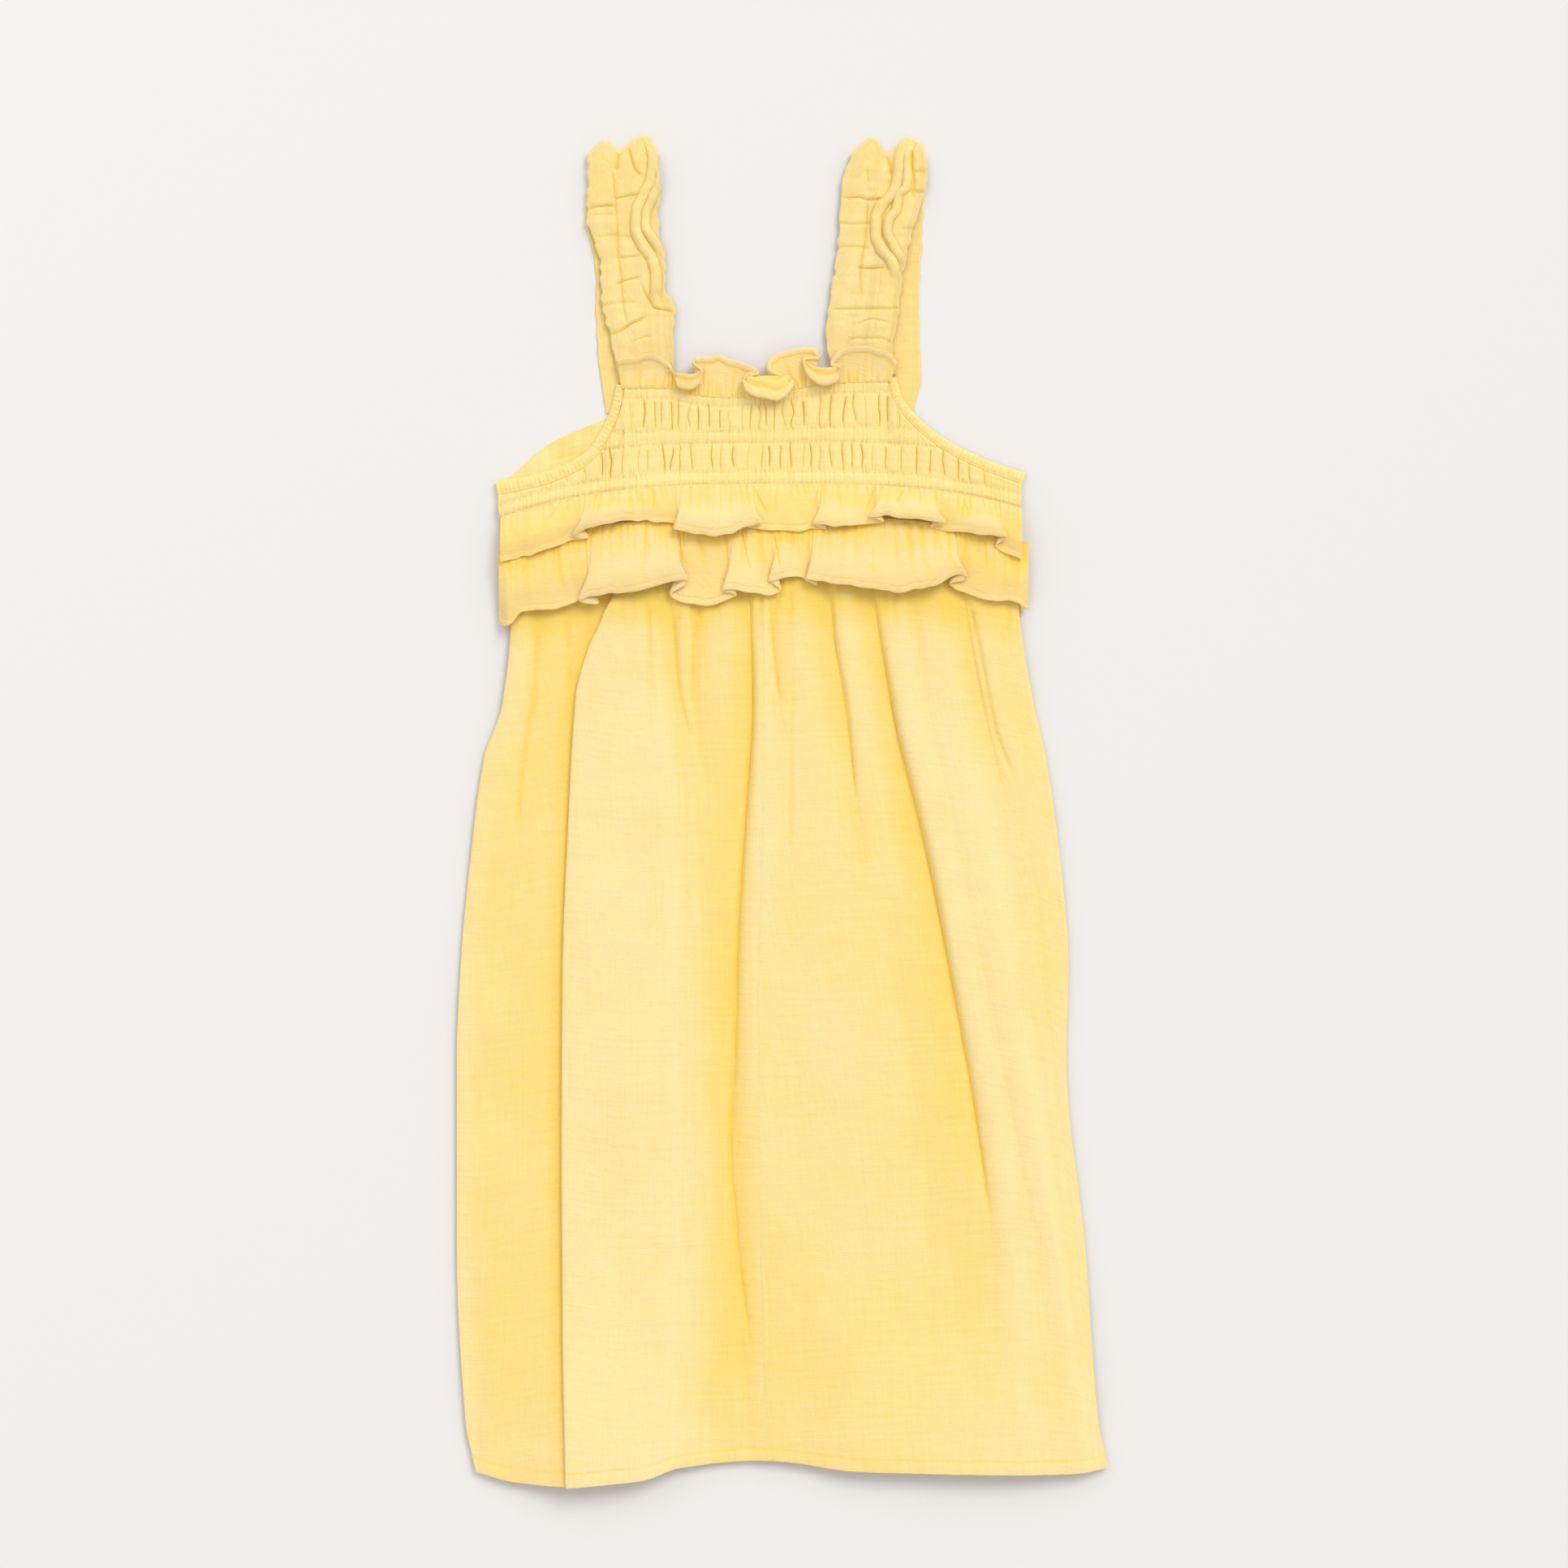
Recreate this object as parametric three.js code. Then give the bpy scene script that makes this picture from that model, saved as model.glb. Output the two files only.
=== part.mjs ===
// A child's smocked sundress in double gauze, laid flat on its back, in millimetres.
// X runs to the right as it lies, Y from the hem up to the straps, Z up from the table.
// The part's origin is the middle of the surface that it lies on.
import * as THREE from "three";

// Cloth and seams
const CLOTH = 1.2; // wall of the crinkled double gauze
const SEAM_GAP = 0.3; // room between two pieces that are sewn together
const LAYER_STEP = CLOTH + SEAM_GAP; // how much one flat layer lifts the next

// Levels along the length, at the dress's middle line
const HEM_Y = -325;
const SKIRT_SEAM_Y = 142; // skirt and lower ruffle are sewn to the bodice here
const RUFFLE_SEAM_Y = 159.5; // the upper ruffle is sewn on here
const NECK_Y = 206; // upper edge of the neckline casing
const BACK_NECK_Y = 194.5;

// The seams across the dress sink towards both side seams
const SIDE_LEFT = -138;
const SIDE_RIGHT = 116;
const DIP_LEFT = 16.4;
const DIP_RIGHT = 11.5;

// Ruffles
const FOLD_RADIUS = 1.15; // middle of the cloth where a fold turns back
const FOLD_POINTS = 4; // points round one bend
const SEAM_PITCH = 0.9; // gathered spacing of a fold's points at its seam

// Splits rows of numbers into named columns.
function table(names, rows) {
  const columns = {};
  names.split(" ").forEach((name, i) => {
    columns[name] = rows.map((row) => row[i]);
  });
  return columns;
}

const mix = (a, b, t) => a + (b - a) * t;
const clamp01 = (t) => Math.min(1, Math.max(0, t));
const smooth = (t) => clamp01(t) ** 2 * (3 - 2 * clamp01(t));
const bump = (t) => Math.exp(-t * t);

// A smooth curve through points that never overshoots them, level past its ends.
function curve(at, value) {
  const falling = at[0] > at[at.length - 1];
  const x = falling ? [...at].reverse() : at;
  const y = falling ? [...value].reverse() : value;
  const slope = x.slice(1).map((next, i) => (y[i + 1] - y[i]) / (next - x[i]));
  const tangent = x.map((_, i) => {
    if (i === 0 || i === x.length - 1) return slope[Math.min(i, slope.length - 1)];
    const [before, after] = [slope[i - 1], slope[i]];
    return before * after <= 0 ? 0 : (2 * before * after) / (before + after);
  });
  return (where) => {
    const p = Math.min(x[x.length - 1], Math.max(x[0], where));
    const i = Math.max(0, x.findIndex((next) => next >= p) - 1);
    const step = x[i + 1] - x[i];
    const t = (p - x[i]) / step;
    const ease = t * t * (3 - 2 * t);
    const swing = t * (1 - t) * ((1 - t) * tangent[i] - t * tangent[i + 1]);
    return mix(y[i], y[i + 1], ease) + step * swing;
  };
}

const point = (x, y, z) => new THREE.Vector3(x, y, z);
const raised = (grid, by) => grid.map((row) => row.map((p) => p.clone().setZ(p.z + by)));

// Six times the volume that a closed set of faces holds, below zero when it is inside out.
function signedVolume(places, faces) {
  let sum = 0;
  for (let i = 0; i < faces.length; i += 3) {
    const [a, b, c] = [0, 1, 2].map((k) => point().fromArray(places, 3 * faces[i + k]));
    sum += a.dot(b.cross(c));
  }
  return sum;
}

// Closes two equal grids of points, an upper and a lower face, into one solid.
function shell(upper, lower) {
  const rows = upper.length;
  const columns = upper[0].length;
  const places = [...upper.flat(), ...lower.flat()].flatMap((p) => p.toArray());
  const top = (r, c) => r * columns + c;
  const under = (r, c) => (rows + r) * columns + c;
  const faces = [];
  const quad = (a, b, c, d) => faces.push(a, b, c, a, c, d);
  for (let r = 0; r < rows - 1; r++) {
    for (let c = 0; c < columns - 1; c++) {
      quad(top(r, c), top(r, c + 1), top(r + 1, c + 1), top(r + 1, c));
      quad(under(r, c), under(r + 1, c), under(r + 1, c + 1), under(r, c + 1));
    }
    quad(top(r, 0), top(r + 1, 0), under(r + 1, 0), under(r, 0));
    const last = columns - 1;
    quad(top(r, last), under(r, last), under(r + 1, last), top(r + 1, last));
  }
  for (let c = 0; c < columns - 1; c++) {
    const last = rows - 1;
    quad(top(0, c), under(0, c), under(0, c + 1), top(0, c + 1));
    quad(top(last, c), top(last, c + 1), under(last, c + 1), under(last, c));
  }
  const solid = new THREE.BufferGeometry();
  solid.setAttribute("position", new THREE.Float32BufferAttribute(places, 3));
  solid.setIndex(signedVolume(places, faces) < 0 ? faces.reverse() : faces);
  return solid;
}

// A wall of cloth round a grid of points in its middle, its side edges cut upright if asked.
function wall(middle, { uprightSides = false } = {}) {
  const last = { row: middle.length - 1, column: middle[0].length - 1 };
  const offset = (side) =>
    middle.map((row, r) =>
      row.map((p, c) => {
        const along = point().subVectors(
          row[Math.min(c + 1, last.column)],
          row[Math.max(c - 1, 0)],
        );
        const up = point().subVectors(
          middle[Math.max(r - 1, 0)][c],
          middle[Math.min(r + 1, last.row)][c],
        );
        const outward = along.cross(up).normalize();
        if (uprightSides && (c === 0 || c === last.column)) outward.set(0, 0, 1);
        return p.clone().addScaledVector(outward, (side * CLOTH) / 2);
      }),
    );
  return shell(offset(-1), offset(1));
}

// How far a seam has sunk below its level at the middle line.
function dip(x) {
  const share = x < 0 ? x / SIDE_LEFT : x / SIDE_RIGHT;
  return -(x < 0 ? DIP_LEFT : DIP_RIGHT) * share ** 3;
}

// Height of the back's underside, which passes over the back ruffles on the table.
const backUnderside = curve(
  [84, 97, 127, 133, 146, 152, 160, 167],
  [0, LAYER_STEP, LAYER_STEP, 2 * LAYER_STEP, 2 * LAYER_STEP, LAYER_STEP, LAYER_STEP, 0],
);

// Skirt: outline of the laid skirt, hem line, and the creases that run down its front
const SKIRT_SIDES = table("y left right", [
  [142, -133, 113],
  [98, -134, 117],
  [59, -138.5, 123.5],
  [35, -147, 129],
  [-25, -154.5, 137],
  [-73, -158.5, 140.5],
  [-121, -160.3, 139.5],
  [-217, -160.3, 149],
  [-301, -156, 155],
  [-325, -151, 160.3],
]);
const HEM_LINE = table("x drop", [
  [-152, 0.5],
  [-131, 5.6],
  [-108, 6.8],
  [-86, 5.2],
  [-68, 3.5],
  [-52, -1.5],
  [-8, -5],
  [37, -0.4],
  [140, 1],
  [160, -1.2],
]);
const SKIRT_LEVELS = [142, 98, 50, 0, -100, -200, -325];
const SKIRT_ROWS = [
  142, 134, 124, 112, 98, 84, 68, 50, 30, 5, -25, -60, -100, -145, -195, -245, -290, -325,
];
// One row for each crease, valley or ridge in turn: its x at each level, then its
// height there above the flat cloth.
const STRIP_CREASES = [
  { x: [-127, -128, -131, -137, -145, -146, -142], z: [0.4, 1.4, 1.4, 1, 0.5, 0.3, 0.4] },
  { x: [-119, -120, -123, -128, -133, -134, -131], z: [0.1, 0.2, 0.2, 0.2, 0.1, 0.1, 0.1] },
];
const LEFT_CREASES = [
  { x: [-66, -66, -62, -60, -59, -59, -62], z: [0.4, 1.8, 3.2, 3.5, 3.6, 3.6, 3.4] },
  { x: [-57, -54, -52, -46, -42, -42, -45], z: [0.2, 0.6, 1.4, 2, 2.3, 2.3, 2.4] },
  { x: [-49, -47, -47, -41, -38, -38, -40], z: [0.5, 2, 1.7, 1.6, 1.7, 1.7, 1.9] },
  { x: [-42, -41, -42, -36, -34, -34, -35], z: [0.2, 0.8, 1, 1.3, 1.2, 1.2, 1.4] },
  { x: [-30, -28, -30, -28, -28.5, -29, -24], z: [0.5, 2, 1.8, 0.9, 0.5, 0.5, 1] },
  { x: [-17, -15.8, -14.6, -17.6, -23, -23, -15], z: [0.1, 0.3, 0.2, 0, 0, 0, 0.6] },
  { x: [-9, -9.5, -9, -9.6, -12, -11, -8], z: [0.5, 2.6, 2.8, 2.8, 2.4, 1.8, 1.2] },
];
const RIGHT_CREASES = [
  { x: [-3, -3.5, -0.5, 4, 6, 8, 14], z: [0.2, 0.9, 1.6, 2.2, 2.2, 2, 1] },
  { x: [6, 8, 12, 20, 30, 34, 40], z: [0.5, 2.2, 2.2, 2.4, 2.4, 2.2, 1] },
  { x: [20, 23.5, 30.5, 37, 50, 60, 62], z: [0.1, 0.2, 0.6, 1.4, 2, 2, 1.2] },
  { x: [27, 30, 37, 46, 62, 76, 78], z: [0.6, 2.6, 2.6, 2, 1.4, 1.6, 1.6] },
  { x: [42, 46, 54, 66, 86, 101, 108], z: [0.1, 0.2, 0.1, 0, 0.2, 1, 1.8] },
  { x: [49, 52.5, 61, 73.5, 94, 111, 122], z: [0.6, 3, 3.4, 3.6, 3.4, 2.6, 2.2] },
  { x: [63, 66, 72, 83, 103, 122, 138], z: [0.1, 1.6, 2.6, 3.2, 3, 2, 2] },
  { x: [73, 77, 83, 93, 112, 131, 149], z: [0.5, 2.4, 3, 3.6, 3.6, 3.2, 2.6] },
  { x: [86, 91, 100, 111, 125, 138, 154], z: [0.1, 0.4, 0.8, 1.8, 2, 2, 1.8] },
  { x: [96, 98, 107, 121, 131.5, 142.5, 157], z: [0.5, 2, 2.2, 1.6, 1.2, 1.2, 1] },
];
// The deep pleat at the left: the skirt laps over its own side strip
const PLEAT = table("y middle lap", [
  [142, -92, 1],
  [98, -86, 4],
  [59, -95, 9],
  [-1, -97.5, 13],
  [-81, -99.5, 15],
  [-161, -100, 15],
  [-241, -99.5, 15],
  [-325, -98, 14],
]);
const PLEAT_RADIUS = 0.9;
const PLEAT_OPEN_Y = 112; // the pleat starts to turn over below this level
const PLEAT_FLAT_Y = 45; // and lies flat, turned right back, from here to the hem

const skirtLeft = curve(SKIRT_SIDES.y, SKIRT_SIDES.left);
const skirtRight = curve(SKIRT_SIDES.y, SKIRT_SIDES.right);
const hemDrop = curve(HEM_LINE.x, HEM_LINE.drop);
const pleatMiddle = curve(PLEAT.y, PLEAT.middle);
const pleatLap = curve(PLEAT.y, PLEAT.lap);

// A Z-fold across a section: a bend of the given turn, a straight run, and a bend
// back. side 1 lifts the right-hand cloth over the left, side -1 the left over the right.
function zFold({ middle, side, radius, run, turn, pitch }) {
  const bendWidth = radius * Math.sin(turn);
  const bendHeight = radius * (1 - Math.cos(turn));
  const width = 2 * bendWidth + run * Math.cos(turn);
  const rise = 2 * bendHeight + run * Math.sin(turn);
  const points = [];
  for (let i = 0; i < FOLD_POINTS; i++) {
    const a = (turn * i) / (FOLD_POINTS - 1);
    points.push({ x: radius * Math.sin(a), z: radius * (1 - Math.cos(a)) });
  }
  const far = { x: width - bendWidth, z: rise - bendHeight };
  for (let i = 0; i < FOLD_POINTS; i++) {
    const a = turn * (1 - i / (FOLD_POINTS - 1));
    const x = far.x + bendWidth - radius * Math.sin(a);
    points.push({ x, z: far.z + radius * (Math.cos(a) - Math.cos(turn)) });
  }
  const half = (points.length - 1) / 2;
  return points.map((p, i) => ({
    x: middle - width / 2 + p.x + (i - half) * pitch,
    z: side > 0 ? p.z : rise - p.z,
    gathered: middle + (i - half) * SEAM_PITCH,
  }));
}

// Puts one point halfway between each two neighbours of a section.
function withMidpoints(points) {
  return points.flatMap((p, i) => {
    const next = points[i + 1];
    return next ? [p, { x: mix(p.x, next.x, 0.5), z: mix(p.z, next.z, 0.5) }] : [p];
  });
}

const creaseAt = (crease, y) => ({
  x: curve(SKIRT_LEVELS, crease.x)(y),
  z: curve(SKIRT_LEVELS, crease.z)(y),
});

function pleatAt(y) {
  const open = smooth((PLEAT_OPEN_Y - y) / (PLEAT_OPEN_Y - PLEAT_FLAT_Y));
  return zFold({
    middle: pleatMiddle(y),
    side: 1,
    radius: PLEAT_RADIUS,
    run: pleatLap(y) * smooth((open - 0.5) / 0.5),
    turn: Math.PI * open,
    pitch: SEAM_PITCH * (1 - open) ** 2,
  });
}

function leftSection(y) {
  const pleat = pleatAt(y);
  const edge = { x: skirtLeft(y), z: 0 };
  const strip = [edge, ...STRIP_CREASES.map((crease) => creaseAt(crease, y)), pleat[0]];
  const front = [pleat[pleat.length - 1], ...LEFT_CREASES.map((c) => creaseAt(c, y))];
  return [...withMidpoints(strip), ...pleat.slice(1, -1), ...withMidpoints(front)];
}

function rightSection(y) {
  const seam = creaseAt(LEFT_CREASES[LEFT_CREASES.length - 1], y);
  const edge = { x: skirtRight(y), z: 0 };
  return withMidpoints([seam, ...RIGHT_CREASES.map((c) => creaseAt(c, y)), edge]);
}

// A skirt row keeps the dipping seam at its top and the wavy hem line at its foot.
function skirtY(x, level) {
  const down = (SKIRT_SEAM_Y - level) / (SKIRT_SEAM_Y - HEM_Y);
  return level - SEAM_GAP + dip(x) * (1 - down) ** 3 - hemDrop(x) * down ** 8;
}

function skirtFront(section, seamShift) {
  const rows = SKIRT_ROWS.map((level) =>
    section(level).map((p, i, all) => {
      const atSeam = i === (seamShift < 0 ? all.length - 1 : 0);
      const x = p.x + (atSeam ? seamShift : 0);
      const y = skirtY(p.x, level);
      return point(x, y, backUnderside(y - dip(p.x)) + LAYER_STEP + CLOTH / 2 + p.z);
    }),
  );
  return wall(rows, { uprightSides: true });
}

const BACK_INSET = 1.2; // the back lies just inside the front's outline
const BACK_HEM_SHORTER = 3;
const SKIRT_BACK_COLUMNS = 8;

function skirtBack() {
  const rows = SKIRT_ROWS.map((level) => {
    const left = skirtLeft(level) + BACK_INSET;
    const right = skirtRight(level) - BACK_INSET;
    return Array.from({ length: SKIRT_BACK_COLUMNS + 1 }, (_, i) => {
      const x = mix(left, right, i / SKIRT_BACK_COLUMNS);
      const down = (SKIRT_SEAM_Y - level) / (SKIRT_SEAM_Y - HEM_Y);
      const y = skirtY(x, level) + BACK_HEM_SHORTER * down ** 8;
      return point(x, y, backUnderside(y - dip(x)));
    });
  });
  return shell(rows, raised(rows, CLOTH));
}

// Bodice front: three elastic casings with two bands of smocking between them
const NECKLINE = table("x y", [
  [-80, 208],
  [-57, 208],
  [-43, 204.5],
  [-27, 203.5],
  [6, 207.5],
  [18, 210],
  [38, 211],
  [54, 211.4],
]);
const ARMHOLE_LEFT = table("x y", [
  [-140, 154.2],
  [-121, 158.2],
  [-104.6, 164.2],
  [-92.2, 172.6],
  [-86.2, 181.8],
  [-80.6, 194],
  [-77.6, 208],
]);
const ARMHOLE_RIGHT = table("x y", [
  [51.4, 211.4],
  [54.4, 201],
  [66.2, 186.5],
  [78.2, 177],
  [96.6, 167.4],
  [117.5, 159.5],
]);
// puff is the mean height of the cloth over its flat wall, rib the crest's height over that
const BODICE_ROWS = table("level puff rib", [
  [142, 0, 0],
  [151, 0.1, 0.1],
  [159.5, 0.15, 0.15],
  [163, 0.8, 0.35],
  [167, 0.4, 0.8],
  [173, 0.8, 1.1],
  [180, 0.4, 0.8],
  [183.5, 0.9, 0.3],
  [187, 0.4, 0.8],
  [193.5, 0.8, 1.1],
  [200, 0.4, 0.8],
  [203, 0.9, 0.3],
  [206, 0.6, 0.2],
]);
const RIB_PITCH = 5.3;
const RIBS_LEFT = -103; // smocked ribs fill the bodice between these two places
const RIBS_RIGHT = 98.4;
const WING_COLUMNS = 4; // plain columns in the gathered strip below each armhole
const EDGE_STEP = 0.25; // rows that would pass the armhole close up to this spacing
const NECK_BLEND_Y = 175; // rows start to follow the neckline from this level up

const neckline = curve(NECKLINE.x, NECKLINE.y);
const armholeLeft = curve(ARMHOLE_LEFT.x, ARMHOLE_LEFT.y);
const armholeRight = curve(ARMHOLE_RIGHT.x, ARMHOLE_RIGHT.y);
const puffAt = curve(BODICE_ROWS.level, BODICE_ROWS.puff);
const ribAt = curve(BODICE_ROWS.level, BODICE_ROWS.rib);

const bodiceTop = (x) => Math.min(neckline(x), armholeLeft(x), armholeRight(x));

// The bodice's sides narrow by this share from just over the ruffle down to the skirt seam.
const SIDE_NARROWING = { share: 0.045, from: RUFFLE_SEAM_Y + 8, drop: 24, x: 85, width: 45 };

function narrowing(x, level) {
  const { share, from, drop, x: inner, width } = SIDE_NARROWING;
  return 1 - share * smooth((from - level) / drop) * smooth((Math.abs(x) - inner) / width);
}

function bodiceColumns() {
  const half = RIB_PITCH / 2;
  const steps = Math.round((RIBS_RIGHT - RIBS_LEFT) / half);
  const ribs = Array.from({ length: steps + 1 }, (_, i) => RIBS_LEFT + half * i);
  const wing = (from, to) =>
    Array.from({ length: WING_COLUMNS }, (_, i) => mix(from, to, i / WING_COLUMNS));
  const leftWing = wing(ARMHOLE_LEFT.x[0], RIBS_LEFT);
  const rightWing = wing(ARMHOLE_RIGHT.x[5], RIBS_RIGHT).reverse();
  return [...leftWing, ...ribs, ...rightWing];
}

function bodiceFront() {
  const levels = BODICE_ROWS.level;
  const columns = bodiceColumns();
  const place = (column, level, fromTop, crest) => {
    const x = column * narrowing(column, level);
    const towardsNeck = smooth((level - NECK_BLEND_Y) / (NECK_Y - NECK_BLEND_Y));
    const free = level + mix(dip(x), neckline(x) - NECK_Y, towardsNeck);
    const y = Math.min(free, bodiceTop(x) - fromTop * EDGE_STEP);
    const at = level - (free - y);
    const height = puffAt(at) + (crest ? ribAt(at) : -0.6 * puffAt(at));
    const under = backUnderside(y - dip(x)) + LAYER_STEP;
    return { x, y, under, top: under + CLOTH + height };
  };
  const grid = levels.map((level, r) =>
    columns.map((x, c) => place(x, level, levels.length - 1 - r, c % 2 === 1)),
  );
  return shell(
    grid.map((row) => row.map((p) => point(p.x, p.y, p.under))),
    grid.map((row) => row.map((p) => point(p.x, p.y, p.top))),
  );
}

// Bodice back: plain, cut straight across its top, higher under the arms than the front
const BACK_TOP = table("x y", [
  [-138.5, 160],
  [-130, 167.4],
  [-117, 178.6],
  [-100.6, 186.6],
  [-88, 191.8],
  [-84, 194.5],
  [56, 194.5],
  [64, 187],
  [82, 176.5],
  [100, 169],
  [116, 161],
]);
const BACK_LEVELS = [142, 150, 160, 168, 178, 187, 194.5];
const BACK_COLUMNS = 22;

function bodiceBack() {
  const top = curve(BACK_TOP.x, BACK_TOP.y);
  const [left, right] = [BACK_TOP.x[0], BACK_TOP.x[BACK_TOP.x.length - 1]];
  const rows = BACK_LEVELS.map((level, r) =>
    Array.from({ length: BACK_COLUMNS + 1 }, (_, i) => {
      const column = mix(left, right, i / BACK_COLUMNS);
      const x = column * narrowing(column, level);
      const limit = top(x) - (BACK_LEVELS.length - 1 - r) * EDGE_STEP;
      const y = Math.min(level + dip(x), limit);
      return point(x, y, backUnderside(y - dip(x)));
    }),
  );
  return shell(rows, raised(rows, CLOTH));
}

// Armhole bindings: a rounded band round each armhole edge, wider under the arm
const BINDING_HEIGHT = 2.2;
const BINDING_PROFILE = [
  { across: 0, height: 0.5 },
  { across: 0.25, height: 0.95 },
  { across: 0.75, height: 0.95 },
  { across: 1, height: 0.5 },
];
const BINDING_CLEARANCE = 0.5; // to the bodice's edge, which it follows
const BINDING_STEPS = 18;

// outward is 1 where the armhole lies to the left of the rising edge, -1 to its right.
function binding(edge, { outward, narrow, wide, under }) {
  const path = new THREE.CatmullRomCurve3(edge.x.map((x, i) => point(x, edge.y[i], 0)));
  const rows = Array.from({ length: BINDING_STEPS + 1 }, (_, i) => {
    const at = i / BINDING_STEPS;
    const here = path.getPointAt(at);
    const ahead = path.getTangentAt(at);
    const away = point(-ahead.y, ahead.x, 0).multiplyScalar(outward);
    const width = outward > 0 ? mix(wide, narrow, at) : mix(narrow, wide, at);
    return BINDING_PROFILE.map(({ across, height }) => {
      const p = here.clone().addScaledVector(away, BINDING_CLEARANCE + across * width);
      return { x: p.x, y: p.y, top: under(p) + BINDING_HEIGHT * height, under: under(p) };
    });
  });
  return shell(
    rows.map((row) => row.map((p) => point(p.x, p.y, p.under))),
    rows.map((row) => row.map((p) => point(p.x, p.y, p.top))),
  );
}

// Ruffles: each is a strip gathered into its seam and free at its lower edge.
// A fold's side is 1 where the right lobe lies over the left one, else -1.
const UPPER_RUFFLE = {
  left: -138.6,
  right: 117.4,
  seam: RUFFLE_SEAM_Y,
  folds: [
    { middle: -99, side: 1, lap: 5 },
    { middle: -51, side: 1, lap: 2.5 },
    { middle: -14, side: -1, lap: 5 },
    { middle: 18, side: 1, lap: 4 },
    { middle: 46, side: 1, lap: 4.5 },
    { middle: 76, side: -1, lap: 4.5 },
    { middle: 107, side: -1, lap: 3 },
  ],
  edge: table("x y", [
    [-138, 121.5],
    [-120, 127],
    [-114, 129.5],
    [-99, 133],
    [-83, 140],
    [-72, 141.6],
    [-63, 140.8],
    [-51, 138.4],
    [-38, 134.5],
    [-32, 133.6],
    [-17, 139],
    [-9, 137.5],
    [4, 135.6],
    [15, 138],
    [23, 140],
    [32, 138.4],
    [50, 143],
    [62, 142.6],
    [88, 136],
    [96, 134],
    [103, 133.5],
    [111, 126.5],
    [117, 122.5],
  ]),
  // height of the cloth's underside at distances below the seam
  rest: table("below z", [
    [0, 5.1],
    [7, 6.6],
    [13, 8.2],
    [18, 9.3],
    [26, 9.8],
  ]),
  endRest: 9.6,
};
const LOWER_RUFFLE = {
  left: -139.4,
  right: 120.6,
  seam: SKIRT_SEAM_Y + 1.5,
  folds: [
    { middle: -95, side: 1, lap: 7 },
    { middle: -51, side: -1, lap: 6 },
    { middle: -26, side: 1, lap: 4 },
    { middle: -4, side: 1, lap: 3.5 },
    { middle: 14, side: 1, lap: 3 },
    { middle: 86, side: -1, lap: 6 },
  ],
  edge: table("x y", [
    [-139, 88],
    [-132, 95],
    [-114, 99],
    [-102, 103],
    [-97, 101],
    [-90, 104],
    [-72, 107],
    [-55, 112],
    [-46, 102],
    [-38, 99.8],
    [-29, 105],
    [-22, 108],
    [-10, 104.6],
    [-1, 111],
    [6, 113],
    [12, 109.5],
    [18, 112.4],
    [34, 109],
    [55, 106.4],
    [68, 108.5],
    [80, 114.5],
    [92, 106.5],
    [102, 102.6],
    [115, 101.8],
    [120, 98.6],
  ]),
  rest: table("below z", [
    [0, 6.3],
    [6, 7.1],
    [50, 7.3],
  ]),
  endRest: 3,
};
const RUFFLE_ROWS = [0, 0.22, 0.5, 0.78, 1];
const LOBE_STEPS = 4;
const LOBE_ARCH = 1.1;
const END_ROUND = 5.5; // the ruffle's ends round down over the side seams

// A ruffle's section, folded flat by the given share from 0 at its seam to 1.
function ruffleSection(ruffle, open) {
  const folds = ruffle.folds.map(({ middle, side, lap }) =>
    zFold({
      middle,
      side,
      radius: FOLD_RADIUS,
      run: lap * smooth((open - 0.5) / 0.5),
      turn: Math.PI * open,
      pitch: SEAM_PITCH * (1 - open) ** 2,
    }),
  );
  const end = (x) => [{ x, z: 0, gathered: x }];
  const stretches = [end(ruffle.left), ...folds, end(ruffle.right)];
  return stretches.flatMap((stretch, i) => {
    const next = stretches[i + 1];
    if (!next) return stretch;
    const from = stretch[stretch.length - 1];
    const lobe = Array.from({ length: LOBE_STEPS - 1 }, (_, j) => {
      const t = (j + 1) / LOBE_STEPS;
      return {
        x: mix(from.x, next[0].x, t),
        z: mix(from.z, next[0].z, smooth(t)) + LOBE_ARCH * open * Math.sin(Math.PI * t),
        gathered: mix(from.gathered, next[0].gathered, t),
      };
    });
    return [...stretch, ...lobe];
  });
}

function ruffleFront(ruffle) {
  const edge = curve(ruffle.edge.x, ruffle.edge.y);
  const rest = curve(ruffle.rest.below, ruffle.rest.z);
  const rows = RUFFLE_ROWS.map((share) =>
    ruffleSection(ruffle, share).map(({ x, z, gathered }) => {
      const seamY = ruffle.seam + dip(gathered);
      const y = mix(seamY, edge(gathered), share);
      const fromEnd = Math.min(x - ruffle.left, ruffle.right - x);
      const rounded = share * (1 - smooth(fromEnd / END_ROUND));
      return point(x, y, mix(rest(seamY - y) + CLOTH / 2, ruffle.endRest, rounded) + z);
    }),
  );
  return wall(rows);
}

const BACK_RUFFLE_COLUMNS = 22;
const BACK_RUFFLE_ROWS = [0, 0.23, 0.42, 1];

// A back ruffle lies flat under the back, its folds pressed out by the dress's weight.
function ruffleBack({ left, right, seam, drop, under }) {
  const rows = BACK_RUFFLE_ROWS.map((share) =>
    Array.from({ length: BACK_RUFFLE_COLUMNS + 1 }, (_, i) => {
      const x = mix(left, right, i / BACK_RUFFLE_COLUMNS);
      const y = seam + dip(x) - drop * share;
      return point(x, y, under(y - dip(x)));
    }),
  );
  return shell(rows, raised(rows, CLOTH));
}

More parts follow.
